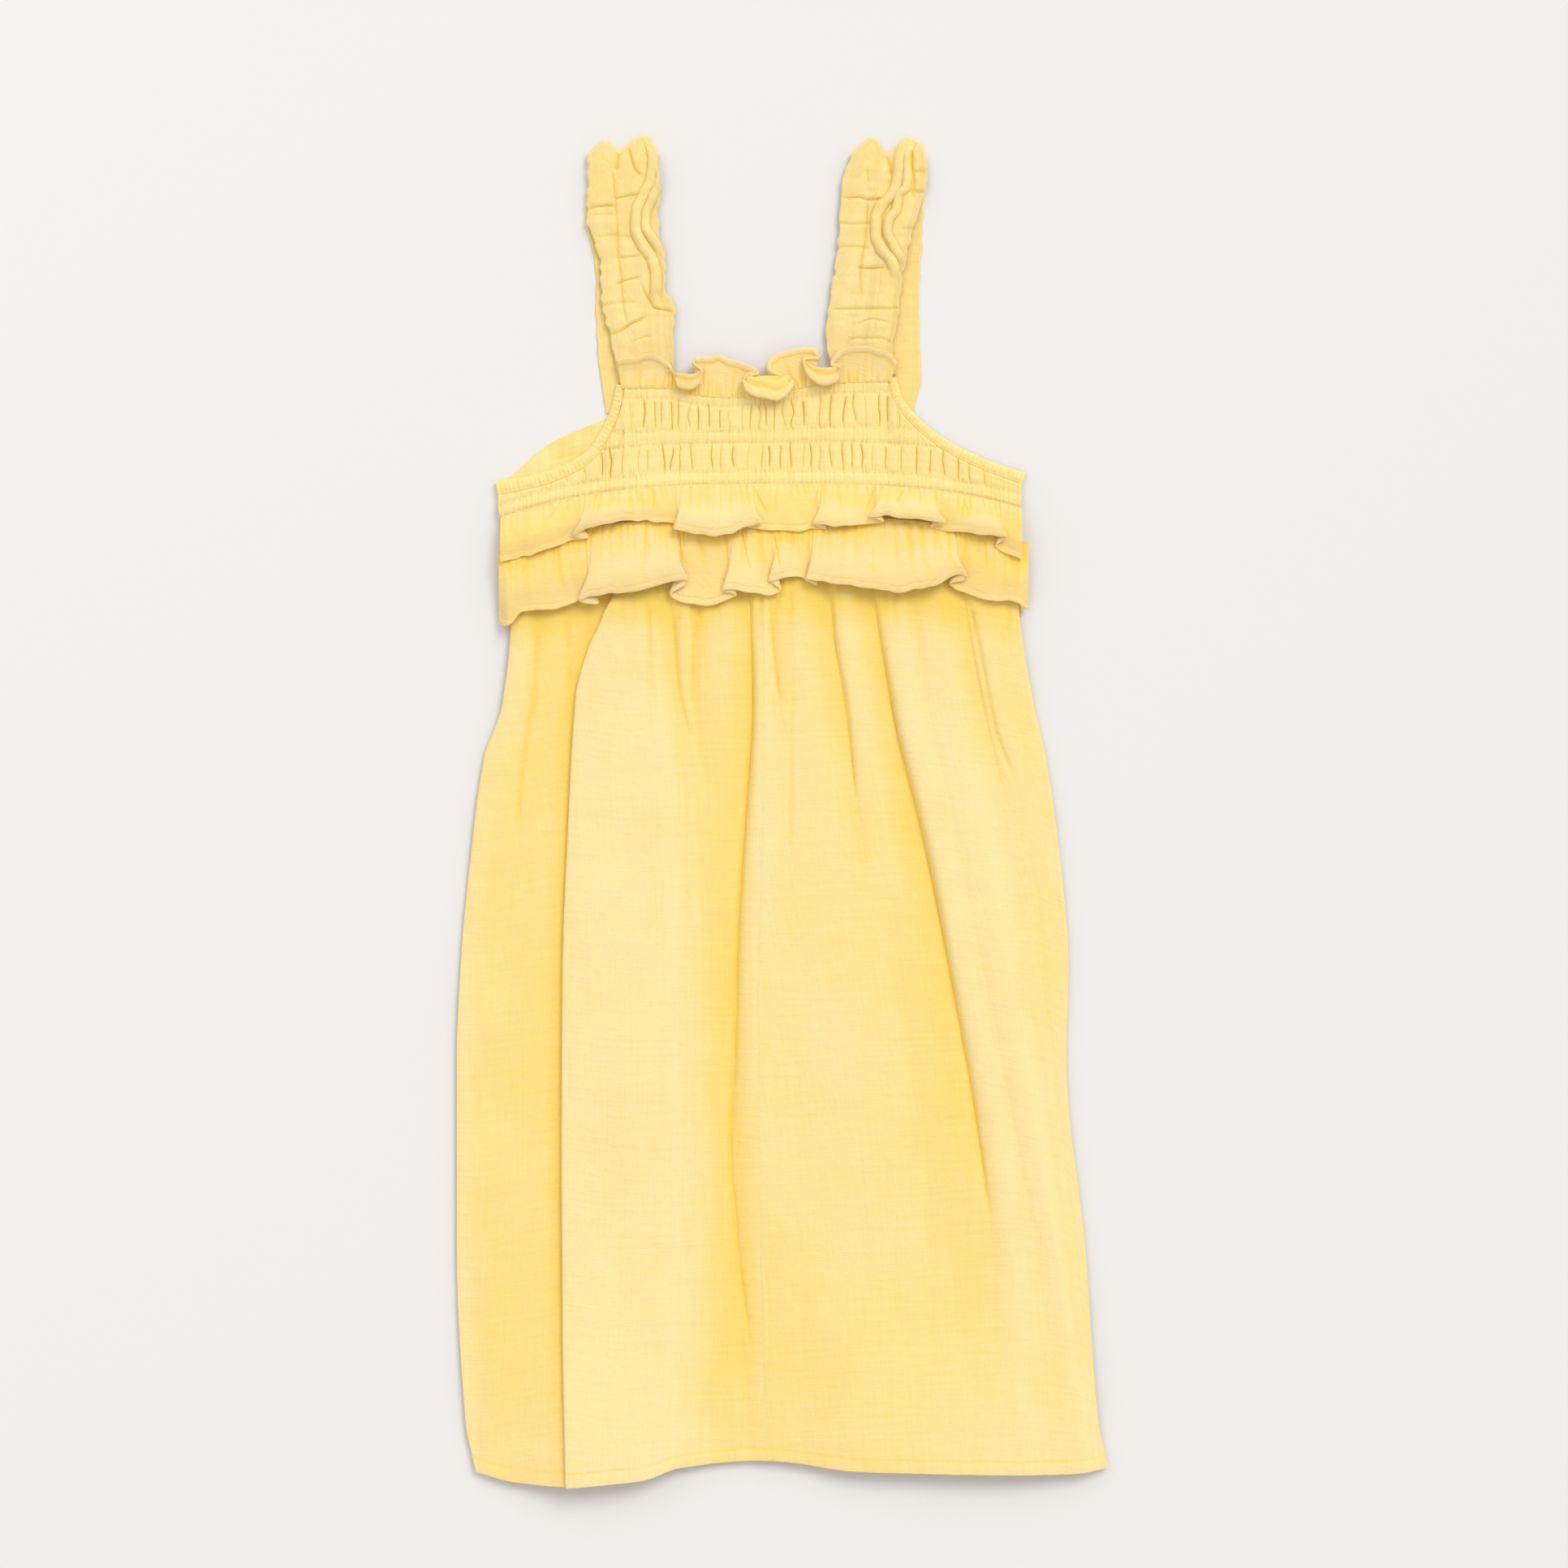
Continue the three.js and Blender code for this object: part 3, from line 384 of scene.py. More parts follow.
# Skirt front
# Two panels joined at the centre front seam, gathered into the waist, with a hem turned
# up 7 mm and stitched. As laid, the left side folds under itself in one deep pleat and
# soft creases run down from the gathers.
SKIRT_LEVELS = np.array([142, 98, 50, 0, -100, -200, -325])
STRIP_CREASES = [  # x at each level, height over the flat cloth at each level
    ([-127, -128, -131, -137, -145, -146, -142], [0.4, 1.4, 1.4, 1, 0.5, 0.3, 0.4]),
    ([-119, -120, -123, -128, -133, -134, -131], [0.1, 0.2, 0.2, 0.2, 0.1, 0.1, 0.1]),
]
LEFT_CREASES = [
    ([-66, -66, -62, -60, -59, -59, -62], [0.4, 1.8, 3.2, 3.5, 3.6, 3.6, 3.4]),
    ([-57, -54, -52, -46, -42, -42, -45], [0.2, 0.6, 1.4, 2, 2.3, 2.3, 2.4]),
    ([-49, -47, -47, -41, -38, -38, -40], [0.5, 2, 1.7, 1.6, 1.7, 1.7, 1.9]),
    ([-42, -41, -42, -36, -34, -34, -35], [0.2, 0.8, 1, 1.3, 1.2, 1.2, 1.4]),
    ([-30, -28, -30, -28, -28.5, -29, -24], [0.5, 2, 1.8, 0.9, 0.5, 0.5, 1]),
    ([-17, -15.8, -14.6, -17.6, -23, -23, -15], [0.1, 0.3, 0.2, 0, 0, 0, 0.6]),
    ([-9, -9.5, -9, -9.6, -12, -11, -8], [0.5, 2.6, 2.8, 2.8, 2.4, 1.8, 1.2]),
]
RIGHT_CREASES = [
    ([-3, -3.5, -0.5, 4, 6, 8, 14], [0.2, 0.9, 1.6, 2.2, 2.2, 2, 1]),
    ([6, 8, 12, 20, 30, 34, 40], [0.5, 2.2, 2.2, 2.4, 2.4, 2.2, 1]),
    ([20, 23.5, 30.5, 37, 50, 60, 62], [0.1, 0.2, 0.6, 1.4, 2, 2, 1.2]),
    ([27, 30, 37, 46, 62, 76, 78], [0.6, 2.6, 2.6, 2, 1.4, 1.6, 1.6]),
    ([42, 46, 54, 66, 86, 101, 108], [0.1, 0.2, 0.1, 0, 0.2, 1, 1.8]),
    ([49, 52.5, 61, 73.5, 94, 111, 122], [0.6, 3, 3.4, 3.6, 3.4, 2.6, 2.2]),
    ([63, 66, 72, 83, 103, 122, 138], [0.1, 1.6, 2.6, 3.2, 3, 2, 2]),
    ([73, 77, 83, 93, 112, 131, 149], [0.5, 2.4, 3, 3.6, 3.6, 3.2, 2.6]),
    ([86, 91, 100, 111, 125, 138, 154], [0.1, 0.4, 0.8, 1.8, 2, 2, 1.8]),
    ([96, 98, 107, 121, 131.5, 142.5, 157], [0.5, 2, 2.2, 1.6, 1.2, 1.2, 1]),
]
PLEAT = np.array([  # y, middle of the lapped stretch, how far it laps
    (142, -88, 2), (112, -83, 4), (98, -84.5, 6), (82, -90.5, 8), (59, -95.5, 10),
    (-1, -97.5, 13), (-81, -99.5, 15), (-161, -100, 15), (-241, -99.5, 15), (-325, -98, 14),
])
PLEAT_RADIUS = 0.74
PLEAT_OPEN_Y, PLEAT_FLAT_Y = 132.0, 92.0
HEM_DEPTH = 6.8
GATHERS = 52
RELIEF = 1.3
FULL_RISE = 3.4
CREASE_DEPTH = 1.1
TUCK_DEPTH, TUCK_REACH = 1.25, 95
LIFT_REACH = 110
STITCH_INSET = 0.7
RIM_SHARE = 0.55
HEM_LIFT = np.array([  # x, how far the hem stands off the table in soft waves
    (-150, 0), (-128, 3), (-104, 8.5), (-76, 6.5), (-40, 0), (5, 1.5), (50, 7), (100, 7.5),
    (135, 4), (158, 0),
])
FRONT_REST = np.array([  # y, height of the back that the front lies on
    (52, 0), (100, 1.5), (127, 1.5), (133, 3), (146, 3), (152, 1.5), (160, 1.5), (167, 0),
])
hem_lift = traced(HEM_LIFT)
front_rest = traced(FRONT_REST)
SHORT_CREASES = [  # depth, half width, points down the crease
    (0.8, 1.3, [(-65.8, 100.6), (-65.4, 80), (-64.6, 56.6)]),
    (0.9, 1.5, [(-53.4, 92), (-51, 59.4), (-45.8, 36.6)]),
    (0.6, 1.3, [(-40.6, 99.8), (-44.2, 78.6), (-45, 50.6)]),
    (1.1, 1.5, [(-15.8, 100.6), (-14.6, 54.6), (-17.8, -1.4), (-21, -41.4), (-22.6, -81.4),
                (-23.8, -121.4), (-25.8, -161.4), (-23.8, -201.4), (-16, -262)]),
    (0.9, 1.2, [(-6.6, 100.6), (-4.6, 78.6), (-1.8, 54)]),
    (0.5, 1.4, [(5, 70.6), (4, 30), (3, -17.4)]),
    (1.0, 1.3, [(23.4, 108.2), (25.4, 85), (31.8, 49.4), (35.4, 8)]),
    (1.3, 1.5, [(45.8, 100), (48.2, 82.6), (53.4, 54.6), (57, 34.2), (66.2, -1.8),
                (75, -38.6), (83.8, -89.4), (90.2, -121.4), (102.2, -201.4)]),
    (0.9, 1.4, [(92.2, 100.6), (99.8, 63.4), (104.2, 40.6), (112.2, 18)]),
    (0.8, 1.3, [(-109.4, 99.8), (-105.4, 82.6), (-105, 62)]),
    (0.8, 1.6, [(-121, 94.6), (-122.2, 62.6), (-127, 30.2), (-131, -8)]),
]
front_levels = np.concatenate([
    np.arange(142, 60, -1.5), np.arange(60, -309, -3.4), np.linspace(-311, -325, 12),
])[:, None]


def bump(t):
    """A bell: e to the power of minus t squared, so 1 at its middle."""
    return np.exp(-t * t)


def soft_noise(x, y, seed):
    """Random values at the whole numbers of x and y, eased between them, from -1 to 1."""
    lattice = np.random.default_rng(seed).uniform(-1, 1, (256, 256))
    i, j = np.floor(x).astype(int), np.floor(y).astype(int)
    u, v = smooth(x - i), smooth(y - j)
    near = mix(lattice[i % 256, j % 256], lattice[(i + 1) % 256, j % 256], u)
    far = mix(lattice[i % 256, (j + 1) % 256], lattice[(i + 1) % 256, (j + 1) % 256], u)
    return mix(near, far, v)


def crinkle(x, y, seed):
    """Shallow unevenness of laid gauze: lengthwise streaks, cross streaks and swells."""
    streaks = 0.16 * soft_noise(x / 5.5, y / 46, seed) + 0.1 * soft_noise(x / 3, y / 22, seed + 1)
    cross = 0.14 * soft_noise(x / 30, y / 5.2, seed + 2)
    return streaks + cross + 0.45 * soft_noise(x / 34, y / 50, seed + 3)


def beside(x, y, path):
    """Distance from a line drawn through points, which runs steadily up or across, with
    its sign, and a mask of the stretch between the line's ends."""
    path = np.asarray(path, float)
    upright = np.ptp(path[:, 1]) >= np.ptp(path[:, 0])
    along, across = (y, x) if upright else (x, y)
    line = path[:, ::-1] if upright else path
    at = traced(line)
    slope = at(along + 0.5) - at(along - 0.5)
    first, last = sorted(line[[0, -1], 0])
    fade = 0.12 * (last - first) + 1.5
    between = smooth((along - first) / fade + 0.3) * smooth((last - along) / fade + 0.3)
    return (across - at(along)) / np.sqrt(1 + slope * slope), between


def creased(x, y, creases):
    """Sum of soft troughs along lines: each a bell of the distance, deepest mid-way."""
    total = np.zeros(np.broadcast(x, y).shape)
    for depth, width, path in creases:
        distance, between = beside(x, y, path)
        total += depth * between * bump(distance / width)
    return total


def wall(name, middle, material, thickness=CLOTH, painted_shade=0.0, seam_column=None):
    """The middle of the cloth moved half its thickness to either side along its normal,
    thinned towards its rim so that the edge looks soft, but not where a seam joins it."""
    across = np.gradient(middle, axis=1)
    down = np.gradient(middle, axis=0)
    normal = np.cross(down, across)
    normal /= np.linalg.norm(normal, axis=2, keepdims=True)
    rim = np.ones(middle.shape[:2] + (1,))
    rim[[0, -1]] = RIM_SHARE
    rim[:, [0, -1]] = RIM_SHARE
    if seam_column is not None:
        normal[:, [0, -1]] = (0, 0, 1)
        rim[1:-1, seam_column] = 1
    half = normal * rim * np.asarray(thickness) / 2
    return shell(name, middle + half, middle - half, material, painted_shade)


def z_fold(middle, side, radius, run, turn, steps):
    """Section of a fold: a bend of the given turn, a straight run, and a bend back. All
    but side and steps may be columns, one value for each row. Gives x and z."""
    bend = np.linspace(0, 1, steps)[None, :]
    bend_width, bend_height = radius * np.sin(turn), radius * (1 - np.cos(turn))
    width = 2 * bend_width + run * np.cos(turn)
    rise = 2 * bend_height + run * np.sin(turn)
    first, last = turn * bend, turn * (1 - bend)
    run_share = np.linspace(0, 1, steps)[None, 1:-1]
    x = np.concatenate([
        radius * np.sin(first),
        bend_width + run * np.cos(turn) * run_share,
        width - radius * np.sin(last),
    ], axis=1)
    z = np.concatenate([
        radius * (1 - np.cos(first)),
        bend_height + run * np.sin(turn) * run_share,
        rise - radius * (1 - np.cos(last)),
    ], axis=1)
    return middle - width / 2 + x, (z if side > 0 else rise - z)


def between_creases(creases, steps, sharp):
    """Cloth between creases given as x, z columns: straight across. It falls to a valley
    by a smooth step, and climbs from it by a steep power where the fold is sharp."""
    xs = np.stack([x for x, _ in creases], axis=1)
    zs = np.stack([z for _, z in creases], axis=1)
    q = np.linspace(0, len(creases) - 1, (len(creases) - 1) * steps + 1)
    i = np.minimum(q.astype(int), len(creases) - 2)
    t = (q - i)[None, :]
    low, high = zs[:, i], zs[:, i + 1]
    upward = np.where(high >= low, t, 1 - t)
    steep = 1 - (1 - upward) ** 3.2
    rise = mix(smooth(upward), steep, sharp * (high > low))
    return mix(xs[:, i], xs[:, i + 1], t), np.minimum(low, high) + abs(high - low) * rise


def crease_columns(creases, levels):
    """The x and z of each crease at every level, by a curve through its places."""
    return [(curve(SKIRT_LEVELS, x)(levels)[:, 0], curve(SKIRT_LEVELS, z)(levels)[:, 0])
            for x, z in creases]


def gathers(x, below, ends, count, seed, reach, wide):
    """Tucks that start at a seam at random places, lean a little and fade out at random
    distances below it: how deep each place lies in them, from 0 to 1."""
    draw = np.random.default_rng(seed)
    start = mix(*ends, (np.arange(count) + draw.uniform(0.1, 0.9, count)) / count)
    deep, half = draw.uniform(0.35, 1, count), draw.uniform(0.6, 1.5, count) * wide
    long, drift = draw.uniform(0.25, 1, count) * reach, draw.uniform(-0.1, 0.1, count)
    total = np.zeros(np.broadcast(x, below).shape)
    for i in range(count):
        fade = smooth(below / 2 + 0.5) * (1 - smooth(below / long[i])) ** 0.7
        away = (x - start[i] - drift[i] * below) / (half[i] * (1 + below / 30))
        total = np.maximum(total, deep[i] * fade * bump(away))
    return total


def finish_skirt_front(name, node, x, z, seam_column, seed, shadow=0):
    """Adds gathers, creases, crinkles and the turned hem to a panel's section, closes it
    and gives the path of its hem's stitching."""
    y = skirt_y(x, front_levels)
    down = SKIRT_SEAM_Y - front_levels
    # Painted shade: the colour deepens where the cloth lies low, along its creases, in its gathers,
    # beside the pleat, below the ruffles' edge near the waist and in the hem stitching's dent; less
    # towards the sides and the hem.
    deepest = 1 - smooth(z / FULL_RISE)
    side = np.minimum(x - skirt_left(front_levels), skirt_right(front_levels) - x)
    middling = smooth((x + 100) / 30) * smooth((115 - x) / 40)
    lines = creased(x, y, SHORT_CREASES)
    shade = 0.72 * deepest * mix(0.3, 1, smooth(side / 16)) * mix(0.62, 1, middling) + 0.4 * lines
    near_waist = smooth((y - dip(x) * 0.8 - 84) / 22)
    shade = shade + 0.55 * near_waist + shadow
    z = z * mix(1, RELIEF, smooth((95 - front_levels) / 60))
    tucks = gathers(x, down, SKIRT_SIDES[0, 1:], GATHERS, 5, TUCK_REACH, 0.9)
    calm = smooth(down / 12)
    uneven = crinkle(x, front_levels + np.zeros_like(x), seed)
    z = z + 0.5 - TUCK_DEPTH * tucks + uneven * calm + 0.3 * calm
    z = z - CREASE_DEPTH * lines
    above_hem = front_levels - HEM_Y
    turned = smooth((HEM_DEPTH + 0.6 - above_hem) / 1.0)
    puckers = 0.24 * soft_noise(x / 2.4, above_hem / 9, 31)
    dent = bump((above_hem - HEM_DEPTH + STITCH_INSET) / 0.8)
    z = z + turned * (0.6 + puckers) - 0.5 * dent
    rest = front_rest(y - dip(x)) + LAYER_STEP + CLOTH / 2
    lifted = hem_lift(x) * smooth((LIFT_REACH - above_hem) / LIFT_REACH)
    middle = stack(x, y, rest + np.maximum(z, 0) + lifted)
    shade = shade * (1 - 0.45 * smooth(1 - above_hem / 80)) + (0.5 + 0.6 * near_waist) * tucks
    shade = shade + 0.35 * dent
    piece = wall(name, middle, SKIRT_GAUZE, painted_shade=shade, seam_column=seam_column)
    sew_in(piece, node)
    stitched = int(np.argmin(abs(above_hem[:, 0] - HEM_DEPTH + STITCH_INSET)))
    return middle[stitched] + (0, 0, CLOTH / 2)


open_share = smooth((PLEAT_OPEN_Y - front_levels) / (PLEAT_OPEN_Y - PLEAT_FLAT_Y))
pleat_x, pleat_z = z_fold(
    traced(PLEAT)(front_levels), 1, PLEAT_RADIUS,
    traced(PLEAT, 2)(front_levels) * smooth((open_share - 0.5) / 0.5),
    math.pi * open_share, 9,
)
pleat_x = pleat_x + (np.arange(pleat_x.shape[1]) - 12) * 0.3 * (1 - open_share) ** 2
sharpness = 0.2 + 0.8 * smooth((front_levels + 240) / 200)
left_edge = (skirt_left(front_levels)[:, 0], np.zeros(len(front_levels)))
strip_x, strip_z = between_creases(
    [left_edge, *crease_columns(STRIP_CREASES, front_levels), (pleat_x[:, 0], pleat_z[:, 0])],
    16, sharpness,
)
panel_x, panel_z = between_creases(
    [(pleat_x[:, -1], pleat_z[:, -1]), *crease_columns(LEFT_CREASES, front_levels)],
    16, sharpness,
)
left_x = np.concatenate([strip_x, pleat_x[:, 1:-1], panel_x], axis=1)
left_z = np.concatenate([strip_z, pleat_z[:, 1:-1], panel_z], axis=1)
pleat_shadow = 0.5 * smooth(1 - (pleat_x.min(axis=1, keepdims=True) - left_x) / 11)
pleat_shadow[:, strip_x.shape[1] + 9:] = 0
hem_left = finish_skirt_front(
    "skirt_front_left_panel", "skirt_front_left", left_x, left_z, -1, 11, pleat_shadow,
)

right_edge = (skirt_right(front_levels)[:, 0], np.zeros(len(front_levels)))
seam_crease = LEFT_CREASES[-1:]
right_x, right_z = between_creases(
    [*crease_columns(seam_crease + RIGHT_CREASES, front_levels), right_edge], 16, sharpness,
)
hem_right = finish_skirt_front(
    "skirt_front_right_panel", "skirt_front_right", right_x, right_z, 0, 11,
)


# Bodice back
# A plain panel cut straight across its top. Its left armhole edge lies a little higher
# than the front's and shows as a strip of the inside.
BACK_TOP = np.array([  # x, y
    (-138.5, 160), (-130, 167.4), (-117, 178.6), (-100.6, 186.6), (-88, 191.8),
    (-84, 194.5), (56, 194.5), (64, 187), (82, 176.5), (100, 169), (116, 161),
])
RUFFLE_SEAM_Y = 159.5
# Lit colour of the bodice gauze, then the deeper colour painted into its shade.
BODICE_GAUZE = gauze("bodice_gauze", (0.935, 0.754, 0.35), (0.79, 0.592, 0.13), pucker=1.3)


def narrowing(x, level):
    """The bodice narrows a little from the armholes down to the skirt seam."""
    return 1 - 0.045 * smooth((RUFFLE_SEAM_Y + 8 - level) / 24) * smooth((abs(x) - 85) / 45)


back_column = np.linspace(BACK_TOP[0, 0], BACK_TOP[-1, 0], 150)[None, :]
back_up = np.linspace(0, 1, 26)[:, None]
back_foot = SKIRT_SEAM_Y + dip(back_column)
back_y = mix(back_foot, traced(BACK_TOP)(back_column), back_up)
back_x = back_column * narrowing(back_column, back_y - dip(back_column))
under = back_underside(back_y - dip(back_x))
ribbed = 0.2 * bump(((back_x + 0.4 * np.sin(back_y / 5)) % 5.2 - 2.6) / 1.1) * smooth(back_up * 4)
back_top_z = under + CLOTH + ribbed * smooth((1 - back_up) * 12)
# Painted shade of 0.3, lighter on the ribs' tops, with a random tone from soft noise.
bodice_back = shell(
    "bodice_back_panel", stack(back_x, back_y, back_top_z), stack(back_x, back_y, under),
    BODICE_GAUZE, 0.3 - 0.6 * ribbed + 0.25 * soft_noise(back_x / 9, back_y / 7, 47),
)
sew_in(bodice_back, "bodice_back")


# Bodice front
# One panel shirred on elastic: three raised casings, a band of smocked ribs between each
# two, and gathers in the strips below the arms. A plain band runs on under the ruffles.
NECK_Y = 206.0
NECKLINE = np.array([  # x, y
    (-80, 208), (-57, 208), (-43, 204.5), (-27, 203.5), (6, 207.5), (18, 210), (38, 211),
    (54, 211.4),
])
ARMHOLE_LEFT = np.array([
    (-140, 154.2), (-121, 158.2), (-104.6, 164.2), (-92.2, 172.6), (-86.2, 181.8),
    (-80.6, 194), (-77.6, 208),
])
ARMHOLE_RIGHT = np.array([
    (51.4, 211.4), (54.4, 201), (66.2, 186.5), (78.2, 177), (96.6, 167.4), (117.5, 159.5),
])
CASINGS = [  # level of the middle, half height
    (163.2, 2.9), (183.5, 3.0), (203.3, 2.7),
]
BAND_HEIGHT = 1.0
RIB_HEIGHT = 1.0
TUBE_HEIGHT = 0.8
PUCKER_STEP = 2.25
SHIRRED_LEFT, SHIRRED_RIGHT = -139, 117
GROOVE_WIDTH = 0.26
SHORT_TUCKS = 90
BODICE_COLUMNS = 1000
SMOCKING_GROOVES = [  # places of the grooves along the lower and the upper band
    (-114, -106, -97.4, -89, -84.6, -79, -71, -66.6, -58.6, -54.6, -50.6, -45, -35, -30.6,
     -24.6, -17, -10.2, -6.6, -1, 3.8, 10.2, 13.8, 18.2, 23.4, 29.4, 33.8, 39, 44.2, 50.6,
     58.2, 65.8, 72.5, 79, 86.2, 92, 99),
    (-75, -68.2, -63, -59.8, -54.6, -51.4, -46.2, -41.8, -36.2, -31, -26.6, -19.8, -15.8,
     -11.4, -8.2, -4.2, 0.2, 4.6, 10.2, 18.2, 23.4, 30.2, 35, 40.6, 47.4, 51.4, 57),
]
neckline = traced(NECKLINE)
armhole_left = traced(ARMHOLE_LEFT)
armhole_right = traced(ARMHOLE_RIGHT)


def bodice_top(x):
    """The lower one of the neckline and the armhole's edge."""
    return np.where(x < 0, np.minimum(neckline(x), armhole_left(x)),
                    np.minimum(neckline(x), armhole_right(x)))


def bodice_level(x, y):
    """The level that a point belongs to, undoing the seam's dip below and the neckline's
    shape above by a few rounds of substitution."""
    level = y - dip(x)
    for _ in range(4):
        share = smooth((level - 175) / (NECK_Y - 175))
        level = y - mix(dip(x), neckline(x) - NECK_Y, share)
    return level


def smocking(x, level):
    """Height and painted shade of the smocked cloth: broad ribs parted by narrow grooves that
    wander, and casings that bulge a little between small puckers over the elastic."""
    draw = np.random.default_rng(41)
    shape = np.broadcast(x, level).shape
    dips, lines, ribs = np.zeros(shape), np.zeros(shape), np.zeros(shape)
    for band, places in enumerate(SMOCKING_GROOVES):
        low = CASINGS[band][0] + 0.75 * CASINGS[band][1]
        high = CASINGS[band + 1][0] - 0.75 * CASINGS[band + 1][1]
        share = (level - low) / (high - low)
        ribs += smooth(share * 5) * smooth((1 - share) * 5)
        for at in places:
            lean, bow = draw.uniform(-1.0, 1.0), draw.uniform(-0.6, 0.6)
            line = at + lean * (share - 0.5) + bow * np.sin(share * draw.uniform(3, 9))
            first, last = draw.uniform(-0.03, 0.14), draw.uniform(0.86, 1.03)
            open_between = smooth((share - first) * 9) * smooth((last - share) * 9)
            deep = draw.uniform(0.35, 1) * open_between
            dips = np.maximum(dips, deep * bump((x - line) / draw.uniform(1.1, 2.0)))
            lines = np.maximum(lines, deep * bump((x - line) / GROOVE_WIDTH))
        for at in draw.uniform(SHIRRED_LEFT, SHIRRED_RIGHT, SHORT_TUCKS):
            reach, top_side = draw.uniform(0.2, 0.7), draw.integers(2)
            from_casing = 1 - share if top_side else share
            short = smooth(from_casing * 9 + 0.5) * (1 - smooth(from_casing / reach))
            short = short * draw.uniform(0.3, 0.9)
            dips = np.maximum(dips, 0.8 * short * bump((x - at) / 0.7))
            lines = np.maximum(lines, 0.35 * short * bump((x - at) / GROOVE_WIDTH))
    casing = sum(
        np.sqrt(np.clip(1 - ((level - at) / half) ** 2, 0, 1)) for at, half in CASINGS
    )
    tucks = np.zeros(shape)
    for place in np.arange(SHIRRED_LEFT, SHIRRED_RIGHT, PUCKER_STEP):
        at = place + draw.uniform(-0.7, 0.7)
        tucks = np.maximum(tucks, draw.uniform(0.2, 1) * bump((x - at) / 0.42))
    wing = smooth((abs(x) - 96) / 8) * (level > CASINGS[0][0])
    swell = 0.85 + 0.3 * soft_noise(x / 6, level / 7, 42)
    folds = RIB_HEIGHT * swell * ribs * (1 - 0.8 * dips - 0.4 * wing * tucks)
    tube = casing * (TUBE_HEIGHT - 0.45 * tucks)
    edges = sum(
        bump((level - at - side * half) / 0.6) for at, half in CASINGS for side in (-1, 1)
    )
    height = BAND_HEIGHT + np.maximum(folds, tube) - 1.0 * lines - (0.12 + 0.5 * tucks) * edges
    # Painted shade: dark lines in the grooves, deeper colour in the dips between ribs, on the casings'
    # puckers and at their edges.
    painted_shade = lines + 0.16 * dips * ribs + 0.18 * tucks * casing + 0.6 * tucks * edges
    return np.clip(height, 0, None), painted_shade


bodice_ends = (ARMHOLE_LEFT[0, 0], ARMHOLE_RIGHT[-1, 0])
bodice_column = np.linspace(*bodice_ends, BODICE_COLUMNS)[None, :]
bodice_up = np.concatenate([np.linspace(0, 0.2, 4)[:-1], np.linspace(0.2, 1, 45)])[:, None]
bodice_foot = SKIRT_SEAM_Y + dip(bodice_column)
bodice_y = mix(bodice_foot, bodice_top(bodice_column), bodice_up)
first_level = bodice_level(bodice_column, bodice_y)
bodice_x = bodice_column * narrowing(bodice_column, first_level)
level = bodice_level(bodice_x, bodice_y)
under = back_underside(bodice_y - dip(bodice_x)) + LAYER_STEP
height, bodice_painted_shade = smocking(bodice_x, level)
height = height * smooth((level - 154) / 5) * smooth((bodice_top(bodice_x) - bodice_y) / 1.2 + 0.6)
bodice_points = stack(bodice_x, bodice_y, under + CLOTH + height)
bodice_front = shell(
    "bodice_front_panel", bodice_points, stack(bodice_x, bodice_y, under), BODICE_GAUZE,
    0.12 + bodice_painted_shade,
)
sew_in(bodice_front, "bodice_front")


def line_across(at):
    """The line on the bodice's face at one level, between the rows next to it."""
    column = np.flatnonzero(level[-1] > at)
    row = (level[:, column] < at).sum(axis=0) - 1
    share = (at - level[row, column]) / (level[row + 1, column] - level[row, column])
    return mix(bodice_points[row, column], bodice_points[row + 1, column], share[:, None])


casing_lines = [line_across(at + 0.9 * side * half) for at, half in CASINGS for side in (-1, 1)]


# Armhole bindings
# A bias strip folded round each armhole edge and stitched down, 4 to 7 mm wide, with
# small puckers where the elastic underneath draws it in.
BINDING_HEIGHT = 2.4
BINDING_CLEARANCE = 0.08
BINDING_STITCHED = 3
BINDING_LENGTH = 90
BINDING_STEPS, BINDING_COLUMNS = 220, 15
# Lit colour of the binding gauze, then the deeper colour painted into its shade.
BINDING_GAUZE = gauze("binding_gauze", (0.93, 0.748, 0.34), (0.87, 0.61, 0.12))


def path_through(points, count):
    """Even steps along a smooth curve through points, with its direction at each."""
    walked = np.concatenate([[0], np.cumsum(np.linalg.norm(np.diff(points, axis=0), axis=1))])
    at = np.linspace(0, walked[-1], count)
    places = np.stack([curve(walked, points[:, i])(at) for i in range(points.shape[1])], axis=1)
    ahead = np.gradient(places, axis=0)
    return places, ahead / np.linalg.norm(ahead, axis=1, keepdims=True)


